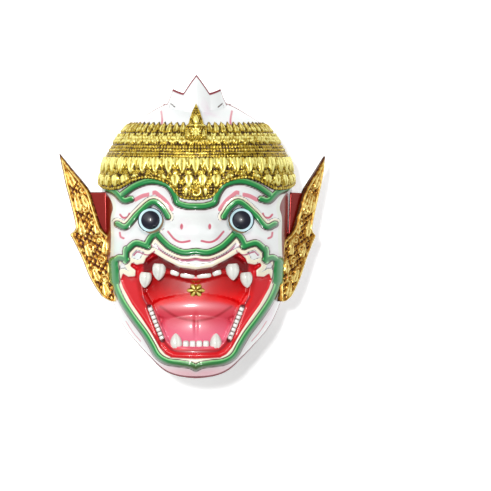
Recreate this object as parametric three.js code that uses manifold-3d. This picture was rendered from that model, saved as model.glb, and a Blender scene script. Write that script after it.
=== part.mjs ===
// A monkey-warrior khon mask: a papier-mache head lying face up on the back of its head.
// X is the viewer's right, Y the crown, Z out of the face; the flat rest is at Z = 0.
import * as THREE from 'three';
import { mergeVertices } from 'three/addons/utils/BufferGeometryUtils.js';
import Module from 'manifold-3d';

const wasm = await Module();
wasm.setup();

// Driving dimensions in millimetres
const maskHeight = 320; // chin to the tip of the crest
const shellWall = 5; // papier-mache and lacquer
const fitGap = 0.3; // between pieces that touch
const restFlatDepth = 3; // cut off the back of the head for the flat rest
const ridgeRadius = 3.2; // moulded lacquer ridges of the face
const jawRidgeRadius = 3.4;
const diademThickness = 3;
const leafRelief = 3.4; // leaves and rosettes above the diadem's ground
const cordRelief = 2.2;
const jewelWidth = 24;
const jewelRelief = 10;
const earThickness = 4.5;
const earRelief = 3;
const eyeRadius = 13.4;
const eyeDomeRadius = 17;
const eyeDomeRise = 6;
const toothThickness = 5;
const sideToothRadius = 2.8;
const flowerRadius = 10;
const gumRadius = 5.5;
const lowerGumRadius = 5;

const frontFullness = 2.4;
const backFullness = 2.15;
const quarter = Math.PI / 2;

// Smooth curve through [position, value] pairs
function profile(pairs) {
  const slopes = pairs.map((pair, i) => {
    const before = pairs[Math.max(i - 1, 0)];
    const after = pairs[Math.min(i + 1, pairs.length - 1)];
    return (after[1] - before[1]) / (after[0] - before[0]);
  });
  return (at) => {
    let i = 0;
    while (i < pairs.length - 2 && at > pairs[i + 1][0]) i += 1;
    const span = pairs[i + 1][0] - pairs[i][0];
    const s = THREE.MathUtils.clamp((at - pairs[i][0]) / span, 0, 1);
    const start = (1 + 2 * s) * (1 - s) ** 2 * pairs[i][1] + s * (1 - s) ** 2 * span * slopes[i];
    const end = s * s * (3 - 2 * s) * pairs[i + 1][1] + s * s * (s - 1) * span * slopes[i + 1];
    return start + end;
  };
}

// The free form is set out on a layout centred on the mask's height, from the chin to the crest's peak.
// Profiles against height: half width, place of the widest line, reach in front and behind it
const widthPoints = [
  [-160, 0], [-158, 17], [-152, 33], [-138, 48.5], [-124, 62], [-107, 76.5], [-85, 87.5], [-60, 94],
  [-39, 98], [0, 101], [30, 102], [63, 99], [72, 96], [90, 85.5], [107, 72.5], [118, 56], [129, 37],
  [134, 21], [136, 0],
];
const halfWidth = profile(widthPoints);
const chin = widthPoints[0][0];
const crown = widthPoints[widthPoints.length - 1][0];
const crestPeak = 160;
const unit = maskHeight / (crestPeak - chin);
const middleDepth = profile([
  [-160, 78], [-152, 70], [-138, 57], [-124, 43], [-107, 29], [-85, 14], [-60, 4], [-40, 0],
  [60, 0], [136, -4],
]);
const frontReach = profile([
  [-160, 0], [-158, 13], [-152, 27], [-138, 47], [-124, 62], [-107, 77], [-85, 93], [-60, 107],
  [-40, 114], [-20, 111], [0, 103], [18, 98], [50, 99], [70, 96], [90, 88], [107, 74.5], [118, 58],
  [129, 38], [134, 21], [136, 0],
]);
const backReach = profile([
  [-160, 0], [-152, 14], [-124, 40], [-107, 72], [-85, 106], [-60, 104], [-30, 104], [0, 106],
  [30, 104.5], [60, 97], [90, 82], [107, 69], [118, 55], [129, 37], [134, 20], [136, 0],
]);

// From the widest line of the head back to the flat rest
const restDepth = backReach(0) * unit - restFlatDepth;

const bump = (a, b) => Math.exp(-(a * a + b * b));

// Broad moulding of the face: brow, eye sockets, nose, cheeks, upper lip and chin
function moulding(x, y) {
  const side = Math.abs(x);
  return (
    4 * bump((side - 47) / 32, (y - 40) / 11) -
    8 * bump((side - 48) / 21, (y - 5) / 15) +
    15 * bump(x / 21, (y + 3) / 15) +
    5 * bump((side - 20) / 9, (y + 6) / 8) +
    3 * bump(x / 14, (y - 20) / 12) +
    5 * bump(x / 52, (y + 32) / 14) +
    6 * bump((side - 68) / 17, (y + 14) / 15) +
    4 * bump(x / 40, (y + 146) / 12)
  );
}

// Depth of the face at a place seen from the front, in layout units
function faceDepth(x, y) {
  const share = Math.min(Math.abs(x) / halfWidth(y), 1);
  const roundness = (1 - share ** frontFullness) ** (1 / frontFullness);
  const fade = THREE.MathUtils.smoothstep(roundness, 0.2, 0.6);
  return middleDepth(y) + frontReach(y) * roundness + moulding(x, y) * fade;
}

// A point of the head's outside at a height and a turn from straight ahead
function headPoint(turn, y) {
  const side = Math.sin(turn);
  const ahead = Math.cos(turn);
  const fullness = ahead > 0 ? frontFullness : backFullness;
  const x = halfWidth(y) * Math.sign(side) * Math.abs(side) ** (2 / fullness);
  const back = middleDepth(y) - backReach(y) * Math.abs(ahead) ** (2 / backFullness);
  return new THREE.Vector3(x, y, ahead > 0 ? faceDepth(x, y) : back);
}

function headNormal(turn, y) {
  const step = 0.02;
  const low = Math.max(y - 1.5, chin + 0.5);
  const high = Math.min(y + 1.5, crown - 0.5);
  const across = headPoint(turn + step, y).sub(headPoint(turn - step, y));
  const up = headPoint(turn, high).sub(headPoint(turn, low));
  return up.cross(across).normalize().negate();
}

// The head's surface moved out by an offset in millimetres, in the part's frame
function shellPoint(turn, y, offset) {
  const outward = headNormal(turn, y).multiplyScalar(offset);
  return headPoint(turn, y).multiplyScalar(unit).add(outward).add(new THREE.Vector3(0, 0, restDepth));
}

function facePoint(x, y, lift) {
  return new THREE.Vector3(x * unit, y * unit, faceDepth(x, y) * unit + lift + restDepth);
}

// Closed solids from geometry, and back
function solid(geometry) {
  const bare = geometry.index ? geometry.clone() : geometry;
  bare.deleteAttribute('normal');
  bare.deleteAttribute('uv');
  const merged = mergeVertices(bare, 1e-4);
  return new wasm.Manifold(
    new wasm.Mesh({
      numProp: 3,
      vertProperties: new Float32Array(merged.attributes.position.array),
      triVerts: new Uint32Array(merged.index.array),
    }),
  );
}

function geometryOf(body) {
  const mesh = body.getMesh();
  const geometry = new THREE.BufferGeometry();
  geometry.setAttribute('position', new THREE.BufferAttribute(new Float32Array(mesh.vertProperties), 3));
  geometry.setIndex(new THREE.BufferAttribute(new Uint32Array(mesh.triVerts), 1));
  return geometry;
}

const join = (bodies) => bodies.reduce((whole, body) => whole.add(body));

// A closed body from rings of points, with a pole at each end
function ringBody(bottom, rings, top) {
  const positions = [bottom, ...rings.flat(), top].flatMap((point) => [point.x, point.y, point.z]);
  const count = rings[0].length;
  const last = 1 + rings.length * count;
  const index = [];
  for (let i = 0; i < count; i += 1) {
    const next = (i + 1) % count;
    index.push(0, 1 + next, 1 + i);
    for (let row = 0; row < rings.length - 1; row += 1) {
      const low = 1 + row * count;
      const high = low + count;
      index.push(low + i, high + next, high + i, low + i, low + next, high + next);
    }
    index.push(last, last - count + i, last - count + next);
  }
  const geometry = new THREE.BufferGeometry();
  geometry.setAttribute('position', new THREE.Float32BufferAttribute(positions, 3));
  geometry.setIndex(index);
  return solid(geometry);
}

function spaced(from, to, step) {
  const count = Math.round((to - from) / step);
  return Array.from({ length: count }, (unused, i) => from + ((to - from) * i) / count);
}

const frontShares = [0.15, 0.3, 0.45, 0.6, 0.75, 0.88, 0.96, 1]; // of the half width
const rightTurns = frontShares.map((share) => Math.asin(share ** (frontFullness / 2)));
const plainStep = quarter / 4;
const shellTurns = [
  ...rightTurns.map((turn) => -turn).reverse(),
  0,
  ...rightTurns,
  ...spaced(quarter + plainStep, 3 * quarter, plainStep),
];
const shellHeights = [
  -158, -152, ...spaced(-144, -36, 18), ...spaced(-36, 46, 11.7), ...spaced(46, 106, 20),
  106, 118, 127, 133.5,
];
const hollowTurns = spaced(-quarter, 3 * quarter, plainStep);
const hollowHeights = [-157, -150, ...spaced(-140, 120, 26), 120, 132];

// The whole closed head form moved out by an offset
function headForm(offset, turns = shellTurns, heights = shellHeights) {
  const pole = (y, lift) => {
    const centre = new THREE.Vector3(0, y, middleDepth(y)).multiplyScalar(unit);
    return centre.add(new THREE.Vector3(0, lift, restDepth));
  };
  const rings = heights.map((y) => turns.map((turn) => shellPoint(turn, y, offset)));
  return ringBody(pole(chin, -offset), rings, pole(crown, offset));
}

// An outline in the front view drawn as a prism between two depths, or right through the face
const aheadOfFace = restDepth + 200 * unit;

function frontPrism(points, from = restDepth, to = aheadOfFace) {
  const shape = new THREE.Shape(points.map(([x, y]) => new THREE.Vector2(x * unit, y * unit)));
  const geometry = new THREE.ExtrudeGeometry(shape, { depth: to - from, bevelEnabled: false });
  return solid(geometry.translate(0, 0, from));
}

function bothSides(half) {
  const left = half.filter(([x]) => x > 0).map(([x, y]) => [-x, y]).reverse();
  return [...half, ...left];
}

// Everything behind and below the rim of the neck opening
function neckCutter() {
  const rimSetback = 3;
  const napeHeight = -85;
  const jaw = [-85, -107, -124, -138, -152, -160];
  const shape = new THREE.Shape();
  shape.moveTo(-200 * unit, napeHeight * unit);
  jaw.forEach((y) => shape.lineTo((middleDepth(y) - rimSetback) * unit, y * unit));
  shape.lineTo(72 * unit, -200 * unit);
  shape.lineTo(-200 * unit, -200 * unit);
  const across = 300 * unit;
  const geometry = new THREE.ExtrudeGeometry(shape, { depth: across, bevelEnabled: false });
  geometry.rotateY(-quarter).translate(across / 2, 0, restDepth);
  return solid(geometry);
}

// Everything below the flat rest
function restCutter() {
  const depth = 40;
  const geometry = new THREE.BoxGeometry(400 * unit, 500 * unit, depth);
  return solid(geometry.translate(0, 0, -depth / 2));
}

// An ellipsoid whose surface is the concave floor of the mouth: half width, half height and depth
const lipCore = [109, 199, 103];
const throatCore = [99, 170, 88];
const mouthHeight = -60;

function mouthCore(core, grow) {
  const [wide, tall, deep] = core.map((reach) => reach * unit + grow);
  const geometry = new THREE.SphereGeometry(1, 14, 9).scale(wide, tall, deep);
  return solid(geometry.translate(0, mouthHeight * unit, restDepth));
}

// A ridge along a line of the face: half round above the surface, with a foot sunk into it
const ridgeStep = 19;

function ridge(line, radius, sink = 0, foot = radius) {
  const path = new THREE.CatmullRomCurve3(line.map(([x, y]) => facePoint(x, y, -sink)));
  const steps = Math.max(2, Math.round(path.getLength() / (ridgeStep * unit)));
  const section = [
    [radius, 0], [radius * 0.5, radius * 0.87], [-radius * 0.5, radius * 0.87], [-radius, 0], [0, -foot],
  ];
  const rings = spaced(0, steps + 1, 1).map((i) => {
    const centre = path.getPointAt(i / steps);
    const along = path.getTangentAt(i / steps);
    const across = new THREE.Vector3(-along.y, along.x, 0).normalize();
    return section.map(([sideways, up]) =>
      new THREE.Vector3(0, 0, up).addScaledVector(across, sideways).add(centre),
    );
  });
  return ringBody(path.getPointAt(0), rings, path.getPointAt(1));
}

const mirrored = (line) => line.map(([x, y]) => [-x, y]);
const pair = (line, ...rest) => [ridge(line, ...rest), ridge(mirrored(line), ...rest)];

// Lines of the face seen from the front, viewer's right half
const browArch = [
  [77, 33], [63, 42], [47, 46.5], [32, 43.5], [25.6, 37.5], [21.9, 30.5], [19.5, 24], [10, 20.5], [0, 20],
];
const browTail = [[97, 40], [86, 35.5], [76.4, 26.5], [68, 28]];
const eyelid = [[83, 2], [73.5, -1], [61, 12.2], [46, 24.5], [36.8, 20], [29.5, 9.5]];
const moustacheLines = [
  [[0, -26.8], [13, -27.9], [25.6, -22.8], [33, -16.8], [41.4, -7.9]],
  [[41, -7.5], [47, -12.5], [51, -20.5]],
  [[50, -21.8], [56, -19.5], [64, -18.5], [73.5, -27]],
  [[73, -24.5], [73.5, -36.5]],
  [[72.5, -35.5], [82, -34], [89, -46]],
];
const jawBlock = [[86.8, -38], [85.5, -58]];
const jawLine = [
  [85.5, -56], [83, -67], [76.5, -81], [65.5, -97], [54, -112], [46.6, -124], [40, -135.5], [30, -141.5],
  [16, -143.5], [0, -145.5],
];
const mirroredBack = (line) => [...line, ...mirrored(line).reverse().slice(1)];

function faceRidges(extra) {
  const radius = ridgeRadius + extra;
  return join([
    ridge(mirroredBack(browArch), radius),
    ...pair(browTail, radius),
    ...pair(eyelid, radius),
    ...moustacheLines.flatMap((line) => pair(line, radius)),
    ...pair(jawBlock, 5 + extra),
    ridge(mirroredBack(jawLine), jawRidgeRadius + extra),
  ]);
}

// The open mouth: lips, hollow, gums and tongue
const upperLip = [
  [0, -45.5], [16.8, -43], [30, -36], [45, -27.4], [51.9, -33.7], [54, -38.9], [61.4, -40.5], [67.2, -38.4],
];
const lipCorner = [[68.7, -42.1], [62.9, -46.3], [63.5, -52.6], [70.8, -53.2]];
const lowerLip = [
  [76.6, -49.5], [79.3, -56.8], [76.5, -65], [67, -82], [56.5, -96.5], [47.5, -110], [37.8, -127],
  [32, -133.8], [25, -137.4], [0, -138.4],
];
const mouthEdge = bothSides([...upperLip, ...lipCorner, ...lowerLip]);
const throatEdge = bothSides([
  [0, -57], [28, -50], [44, -50], [57, -60], [54, -76], [46.5, -88], [33, -117], [25, -126], [0, -127],
]);
const mouthMiddle = -86;
const scaledEdge = (edge, share) =>
  edge.map(([x, y]) => [x * share, mouthMiddle + (y - mouthMiddle) * share]);
const plainEdge = bothSides([...upperLip, ...lowerLip]);
const linerEdge = scaledEdge(plainEdge, 1.1);
const fillingEdge = scaledEdge(plainEdge, 1.03);
const upperGumLine = [
  [74, -61], [66, -56], [58, -49], [50, -42.5], [38, -36], [28, -40], [14, -44.8], [0, -46.8],
];
const lowerGumLine = [[56, -74], [48, -88], [41, -104], [34, -119], [28, -127], [20, -130.5], [0, -131]];
const upperGumSink = 12;
const lowerGumSink = 13;
const upperGumFoot = 44; // down to the roof of the mouth
const lowerGumFoot = 18;

function gums(extra) {
  return join([
    ridge(mirroredBack(upperGumLine), gumRadius + extra, upperGumSink, upperGumFoot * unit),
    ridge(mirroredBack(lowerGumLine), lowerGumRadius + extra, lowerGumSink, lowerGumFoot * unit),
  ]);
}

function tongue(extra) {
  const mound = (y, wide, tall, deep, centreDepth) => {
    const geometry = new THREE.SphereGeometry(1, 10, 6);
    geometry.scale(wide * unit + extra, tall * unit + extra, deep * unit + extra);
    return solid(geometry.translate(0, y * unit, centreDepth * unit + restDepth));
  };
  return mound(-106, 27, 18, 16, 80).add(mound(-87, 38, 12, 10, 84));
}

// A pointed leaf outline with its foot on the X axis
function leafShape(width, height) {
  const shape = new THREE.Shape();
  shape.moveTo(-width * 0.42, 0);
  shape.quadraticCurveTo(-width * 0.62, height * 0.45, 0, height);
  shape.quadraticCurveTo(width * 0.62, height * 0.45, width * 0.42, 0);
  return shape;
}

// The crest: a solid lotus bud with eight pointed petals round its edge
function crest() {
  const petalCount = 8;
  const across = 38;
  const along = 50;
  const foot = 100;
  const sidePeak = 131;
  const frontRise = crestPeak - sidePeak;
  const backRise = 12;
  const valleyDrop = 15;
  const lowestValley = 128;
  const budTop = 138;
  const edge = spaced(0, 4 * petalCount, 1).map((i) => {
    const turn = (2 * Math.PI * i) / (4 * petalCount);
    const ahead = Math.cos(turn);
    const peak = sidePeak + (ahead > 0 ? frontRise : backRise) * ahead ** 2;
    const share = Math.abs((i % 4) - 2) / 2;
    const valley = Math.max(peak - valleyDrop, lowestValley);
    return { turn, height: valley + (peak - valley) * share };
  });
  const ring = (shareOut, heightOf) =>
    edge.map(({ turn, height }) => {
      const x = across * shareOut * Math.sin(turn);
      const z = along * shareOut * Math.cos(turn);
      return new THREE.Vector3(x * unit, heightOf(height) * unit, z * unit + restDepth);
    });
  const rings = [
    ring(1, () => foot),
    ring(1.02, (height) => foot + (height - foot) * 0.6),
    ring(0.94, (height) => height),
    ring(0.78, (height) => height - 9),
  ];
  return ringBody(
    new THREE.Vector3(0, foot * unit, restDepth),
    rings,
    new THREE.Vector3(0, budTop * unit, restDepth),
  );
}

function headShell() {
  const outer = headForm(0);
  const hollow = headForm(-shellWall, hollowTurns, hollowHeights);
  const opening = neckCutter();
  const shell = outer.subtract(hollow);
  const throatFloor = mouthCore(throatCore, 0);
  const linerFloor = mouthCore(throatCore, -shellWall);
  const lipFloor = mouthCore(lipCore, 0);
  const liner = frontPrism(linerEdge).intersect(outer).subtract(linerFloor);
  const mouth = frontPrism(mouthEdge);
  const throat = frontPrism(throatEdge);
  const fillings = join([tongue(0), gums(0)]).intersect(frontPrism(fillingEdge)).subtract(linerFloor);
  return shell
    .add(liner)
    .subtract(mouth.subtract(lipFloor))
    .subtract(throat.subtract(throatFloor))
    .add(fillings)
    .add(faceRidges(0))
    .add(crest().subtract(hollow))
    .subtract(opening)
    .subtract(restCutter());
}

// What the loose pieces keep clear of: the shell and its ridges grown by the gap
const clearance = join([headForm(fitGap), faceRidges(fitGap)]);

// The gilt band round the head: leaves, rosettes and cords in rows
const bandTop = profile([[0, 103], [60, 104], [100, 106], [180, 100]]);
const bandFoot = profile([
  [0, 28], [6, 31], [13, 44.5], [25, 50.5], [35, 48], [50, 40], [75, 44], [100, 60], [180, 60],
]);
const leafPitch = 16;
const plainPitch = 32;
const topWave = 4.5;
const footWave = -3;
const bandSeat = 2; // how far the band's back is drawn into the head before it is cut to fit

// Turns that divide the band's length between two turns into equal steps
function evenTurns(from, to, steps) {
  const fine = spaced(0, 201, 1).map((i) => from + ((to - from) * i) / 200);
  const lengths = [0];
  fine.slice(1).forEach((turn, i) => {
    const bandMiddle = 70;
    lengths.push(lengths[i] + headPoint(turn, bandMiddle).distanceTo(headPoint(fine[i], bandMiddle)));
  });
  const whole = lengths[lengths.length - 1];
  return spaced(0, steps, 1).map((i) => {
    const after = Math.max(lengths.findIndex((length) => length >= (whole * i) / steps), 1);
    const share = ((whole * i) / steps - lengths[after - 1]) / (lengths[after] - lengths[after - 1]);
    return fine[after - 1] + (fine[after] - fine[after - 1]) * share;
  });
}

function diadem() {
  const rows = [
    { share: 0, tipLift: 0.6, wave: footWave },
    { share: 0.2, tipLift: leafRelief },
    { share: 0.42, tipLift: cordRelief, even: true },
    { share: 0.5, tipLift: 0.6 },
    { share: 0.66, tipLift: leafRelief },
    { share: 0.84, tipLift: cordRelief, even: true },
    { share: 1, tipLift: 0.6, wave: topWave },
  ];
  const quarterGirth = quarter * halfWidth(0) * unit;
  const frontCount = Math.round(quarterGirth / leafPitch);
  const backCount = Math.round(quarterGirth / plainPitch);
  const turns = [
    ...evenTurns(-quarter, quarter, 4 * frontCount),
    ...evenTurns(quarter, 3 * quarter, 4 * backCount),
  ];
  const positions = [];
  const place = (turn, share, wave, lift) => {
    const degrees = THREE.MathUtils.radToDeg(Math.abs(turn > Math.PI ? turn - 2 * Math.PI : turn));
    const foot = bandFoot(degrees);
    const point = shellPoint(turn, foot + (bandTop(degrees) - foot) * share + wave, lift);
    positions.push(point.x, point.y, point.z);
  };
  turns.forEach((turn, i) => {
    const tip = i % 2 !== 0;
    rows.forEach((row) => {
      const raised = row.even || tip;
      place(turn, row.share, tip ? row.wave || 0 : 0, diademThickness + (raised ? row.tipLift : 0.3));
    });
    place(turn, 1, tip ? topWave : 0, -bandSeat);
    place(turn, 0, tip ? footWave : 0, -bandSeat);
  });
  const ring = rows.length + 2;
  const index = [];
  turns.forEach((unused, i) => {
    const here = i * ring;
    const next = ((i + 1) % turns.length) * ring;
    for (let row = 0; row < ring; row += 1) {
      const up = (row + 1) % ring;
      index.push(here + row, next + row, next + up, here + row, next + up, here + up);
    }
  });
  const geometry = new THREE.BufferGeometry();
  geometry.setAttribute('position', new THREE.Float32BufferAttribute(positions, 3));
  geometry.setIndex(index);
  return solid(geometry).add(frontJewel()).subtract(clearance);
}

// The triangular jewel that stands at the middle of the diadem and leans back with the crown
function frontJewel() {
  const foot = 88;
  const height = 41;
  const lean = THREE.MathUtils.degToRad(22);
  const shape = leafShape(jewelWidth, height * unit);
  const plate = new THREE.ExtrudeGeometry(shape, {
    depth: jewelRelief,
    bevelEnabled: false,
    curveSegments: 4,
  });
  const stone = new THREE.SphereGeometry(1, 8, 6).scale(jewelWidth / 4, jewelWidth / 3, jewelWidth / 6);
  stone.translate(0, 15 * unit, jewelRelief);
  const place = facePoint(0, foot, 1);
  return join(
    [plate, stone].map((piece) => solid(piece.rotateX(-lean).translate(place.x, place.y, place.z))),
  );
}

// Ear ornaments: flame-shaped plates with raised leaves
function earPlate() {
  const shape = new THREE.Shape();
  shape.moveTo(0, 0);
  shape.quadraticCurveTo(-8, 1, -22, 26);
  shape.quadraticCurveTo(-32, 46, -43.6, 70);
  shape.quadraticCurveTo(-38, 74, -39.2, 82);
  shape.quadraticCurveTo(-42, 94, -49, 123);
  shape.quadraticCurveTo(-53, 140, -57, 156.5);
  shape.quadraticCurveTo(-34, 132, -22.8, 115.8);
  shape.quadraticCurveTo(-12, 76, 0, 68.4);
  shape.lineTo(10, 66);
  shape.lineTo(10, 0);
  return shape;
}

function earOrnament(side, turnDegrees, leanDegrees) {
  const plate = new THREE.ExtrudeGeometry(earPlate(), {
    depth: earThickness,
    bevelEnabled: false,
    curveSegments: 5,
  });
  const bodies = [solid(plate)];
  const leaves = [
    [-2, 12, 14, 24, 28], [-12, 30, 15, 26, 28], [-24, 46, 16, 26, 34], [-6, 44, 13, 24, 12],
    [-22, 68, 17, 30, 14], [-30, 94, 16, 30, 10], [-41, 119, 10, 28, 25],
  ];
  leaves.forEach(([x, y, width, height, tilt]) => {
    const leaf = new THREE.ExtrudeGeometry(leafShape(width, height), {
      depth: earRelief + 1,
      bevelEnabled: false,
      curveSegments: 2,
    });
    leaf.rotateZ(THREE.MathUtils.degToRad(tilt)).translate(x, y, earThickness - 1);
    bodies.push(solid(leaf));
  });
  const placed = geometryOf(join(bodies));
  if (side > 0) {
    placed.scale(-1, 1, 1);
    const order = placed.index.array;
    for (let i = 0; i < order.length; i += 3) [order[i], order[i + 1]] = [order[i + 1], order[i]];
  }
  placed.scale(unit, unit, 1);
  placed.rotateY(THREE.MathUtils.degToRad(-side * -turnDegrees));
  placed.rotateZ(THREE.MathUtils.degToRad(-side * leanDegrees));
  placed.translate(side * 90 * unit, -80 * unit, restDepth + 42 * unit);
  return solid(placed).subtract(clearance);
}

// Eyes: shallow glossy domes in the sockets
const eyePlace = [47.6, 6];

function eye(side) {
  const centre = facePoint(side * eyePlace[0], eyePlace[1], eyeDomeRise - eyeDomeRadius);
  const dome = new THREE.SphereGeometry(eyeDomeRadius, 12, 12).rotateX(quarter);
  const rim = new THREE.CylinderGeometry(eyeRadius, eyeRadius, eyeDomeRadius * 2, 12).rotateX(quarter);
  return solid(dome.translate(centre.x, centre.y, centre.z))
    .intersect(solid(rim.translate(centre.x, centre.y, centre.z + eyeDomeRadius)))
    .subtract(clearance);
}

// What the teeth and the palate's flower keep clear of: the gums and the two mouth floors
const throatPlan = frontPrism(scaledEdge(throatEdge, 0.99));
const mouthClearance = join([
  gums(fitGap),
  tongue(fitGap),
  mouthCore(throatCore, fitGap),
  mouthCore(lipCore, fitGap).subtract(throatPlan),
]);

// Pointed teeth in layout units: where the root is, width, length up or down, depth below the face
const fangs = {
  upper_fang_inner: { root: [37.8, -39.5], width: 14, length: -17.5, tilt: -4, sink: 10 },
  upper_fang_outer: { root: [52, -48.5], width: 12.8, length: -16.5, tilt: -6, sink: 9 },
  lower_fang: { root: [20.6, -127.8], width: 12.6, length: 15.8, tilt: 2, sink: 13 },
};

function fang(side, { root, width, length, tilt, sink }) {
  const outline = [[0, 0], [0.42, 0], [0.5, 0.35], [0.36, 0.72], [0, 1]];
  const points = outline.map(([across, along]) =>
    new THREE.Vector2(across * width * unit, along * length * unit),
  );
  if (length < 0) points.reverse();
  const geometry = new THREE.LatheGeometry(points, 6);
  const place = facePoint(side * root[0], root[1], -sink * unit);
  geometry.rotateZ(THREE.MathUtils.degToRad(-side * tilt)).translate(place.x, place.y, place.z);
  return solid(geometry).subtract(mouthClearance);
}

// Rows of low front teeth in layout units: the cutting edge dips between the teeth
const upperRow = { halfSpan: 27, rootHeight: -47, edgeHeight: -55.5, cornerHeight: -50.5, sink: 10 };
const lowerRow = { halfSpan: 13.5, rootHeight: -129.5, edgeHeight: -119, cornerHeight: -120, sink: 13 };

function toothRow({ halfSpan, rootHeight, edgeHeight, cornerHeight, sink }) {
  const count = 4;
  const width = (2 * halfSpan) / count;
  const notch = 1.2 * Math.sign(rootHeight - edgeHeight);
  const points = [[-halfSpan, rootHeight]];
  for (let i = 0; i < count; i += 1) {
    const left = -halfSpan + i * width;
    const heightAt = (x) => edgeHeight + (cornerHeight - edgeHeight) * (x / halfSpan) ** 2;
    points.push([left + 0.4, heightAt(left) + notch]);
    points.push([left + width * 0.2, heightAt(left + width * 0.2)]);
    points.push([left + width * 0.8, heightAt(left + width * 0.8)]);
  }
  points.push([halfSpan - 0.4, cornerHeight + notch], [halfSpan, rootHeight]);
  const depth = facePoint(0, edgeHeight, -sink * unit).z;
  return frontPrism(points, depth - toothThickness / 2, depth + toothThickness / 2).subtract(mouthClearance);
}

const sideToothSink = 9;
const lowerSideLine = [[48.5, -85], [41.5, -103], [35, -119]];

function sideTeeth(side) {
  const line = lowerSideLine.map(([x, y]) => [x * side, y]);
  return ridge(line, sideToothRadius, sideToothSink * unit).subtract(mouthClearance);
}

// The small flower in the roof of the mouth
function palateFlower() {
  const petals = 6;
  const shape = new THREE.Shape();
  for (let i = 0; i < petals * 4; i += 1) {
    const angle = (2 * Math.PI * i) / (petals * 4);
    const reach = [1, 0.9, 0.6, 0.9][i % 4] * flowerRadius;
    const point = [reach * Math.cos(angle), reach * 0.8 * Math.sin(angle)];
    if (i === 0) shape.moveTo(...point);
    else shape.lineTo(...point);
  }
  const height = 5;
  const geometry = new THREE.ExtrudeGeometry(shape, { depth: height, bevelEnabled: false });
  const heart = new THREE.SphereGeometry(3.5, 8, 6).translate(0, 0, height);
  return join(
    [geometry, heart].map((piece) => solid(piece.translate(0, -67.5 * unit, 86 * unit + restDepth))),
  ).subtract(mouthClearance);
}

const material = (color, roughness, metalness = 0) =>
  new THREE.MeshStandardMaterial({ color, roughness, metalness });
const whiteLacquer = material(0xf0eee8, 0.35);
const gilding = material(0xc8a83c, 0.35, 0.8);
const darkGilding = material(0xa87828, 0.4, 0.8);
const eyeGlaze = material(0x14142a, 0.1);
const pearl = material(0xe6e8de, 0.25);

const khonMask = new THREE.Group();

function addPiece(name, body, look) {
  const mesh = new THREE.Mesh(geometryOf(body), look);
  mesh.name = name;
  khonMask.add(mesh);
}

addPiece('head_shell', headShell(), whiteLacquer);
addPiece('diadem', diadem(), gilding);
addPiece('ear_ornament_left', earOrnament(-1, 16, 0), darkGilding);
addPiece('ear_ornament_right', earOrnament(1, 48, 2.5), darkGilding);
addPiece('eye_left', eye(-1), eyeGlaze);
addPiece('eye_right', eye(1), eyeGlaze);
[['left', -1], ['right', 1]].forEach(([name, side]) => {
  Object.entries(fangs).forEach(([tooth, sizes]) => {
    addPiece(tooth + '_' + name, fang(side, sizes), pearl);
  });
  addPiece('lower_side_teeth_' + name, sideTeeth(side), pearl);
});
addPiece('upper_teeth', toothRow(upperRow), pearl);
addPiece('lower_incisors', toothRow(lowerRow), pearl);
addPiece('palate_ornament', palateFlower(), gilding);

export default khonMask;
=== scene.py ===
"""A monkey-warrior khon mask in painted papier-mache and gilding, lying face up."""

import math

import bpy
import numpy as np
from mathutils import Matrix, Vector


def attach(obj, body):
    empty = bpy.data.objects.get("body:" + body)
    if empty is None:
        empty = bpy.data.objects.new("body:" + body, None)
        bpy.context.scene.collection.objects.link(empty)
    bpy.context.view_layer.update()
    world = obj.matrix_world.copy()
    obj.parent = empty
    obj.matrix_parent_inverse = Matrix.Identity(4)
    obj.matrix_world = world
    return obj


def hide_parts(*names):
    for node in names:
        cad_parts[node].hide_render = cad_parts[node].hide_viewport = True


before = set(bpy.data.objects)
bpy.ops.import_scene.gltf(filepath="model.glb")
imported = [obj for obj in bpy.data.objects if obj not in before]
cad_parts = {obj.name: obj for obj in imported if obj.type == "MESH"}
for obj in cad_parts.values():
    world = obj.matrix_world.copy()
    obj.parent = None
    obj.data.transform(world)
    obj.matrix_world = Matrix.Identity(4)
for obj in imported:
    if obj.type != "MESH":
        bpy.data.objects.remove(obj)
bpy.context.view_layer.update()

MM = 0.001
PHOTO_WIDTH = 491
MM_PER_PIXEL = 1.0526
MASK_CENTRE_PIXEL = (196.3, 226.0)
REST_DEPTH = 103.0
WALL = 5.0
CHIN, CROWN = -160.0, 136.0
FRONT_FULLNESS, BACK_FULLNESS = 2.4, 2.15
EYE = (47.6, 6.0)
EYE_RADIUS, EYE_DOME, EYE_RISE = 13.4, 17.0, 6.0
NOSTRIL = (14.6, -0.9)
FLOWER_HEIGHT, FLOWER_DEPTH = -67.5, 86


# Curves and profiles

def profile(pairs):
    """Smooth curve through (position, value) pairs."""
    at = np.array([p[0] for p in pairs], float)
    value = np.array([p[1] for p in pairs], float)
    before = np.maximum(np.arange(len(at)) - 1, 0)
    after = np.minimum(np.arange(len(at)) + 1, len(at) - 1)
    slope = (value[after] - value[before]) / (at[after] - at[before])

    def evaluate(x):
        x = np.asarray(x, float)
        i = np.clip(np.searchsorted(at, x, side="right") - 1, 0, len(at) - 2)
        span = at[i + 1] - at[i]
        s = np.clip((x - at[i]) / span, 0, 1)
        start = (1 + 2 * s) * (1 - s) ** 2 * value[i] + s * (1 - s) ** 2 * span * slope[i]
        end = s * s * (3 - 2 * s) * value[i + 1] + s * s * (s - 1) * span * slope[i + 1]
        return start + end

    return evaluate


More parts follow.
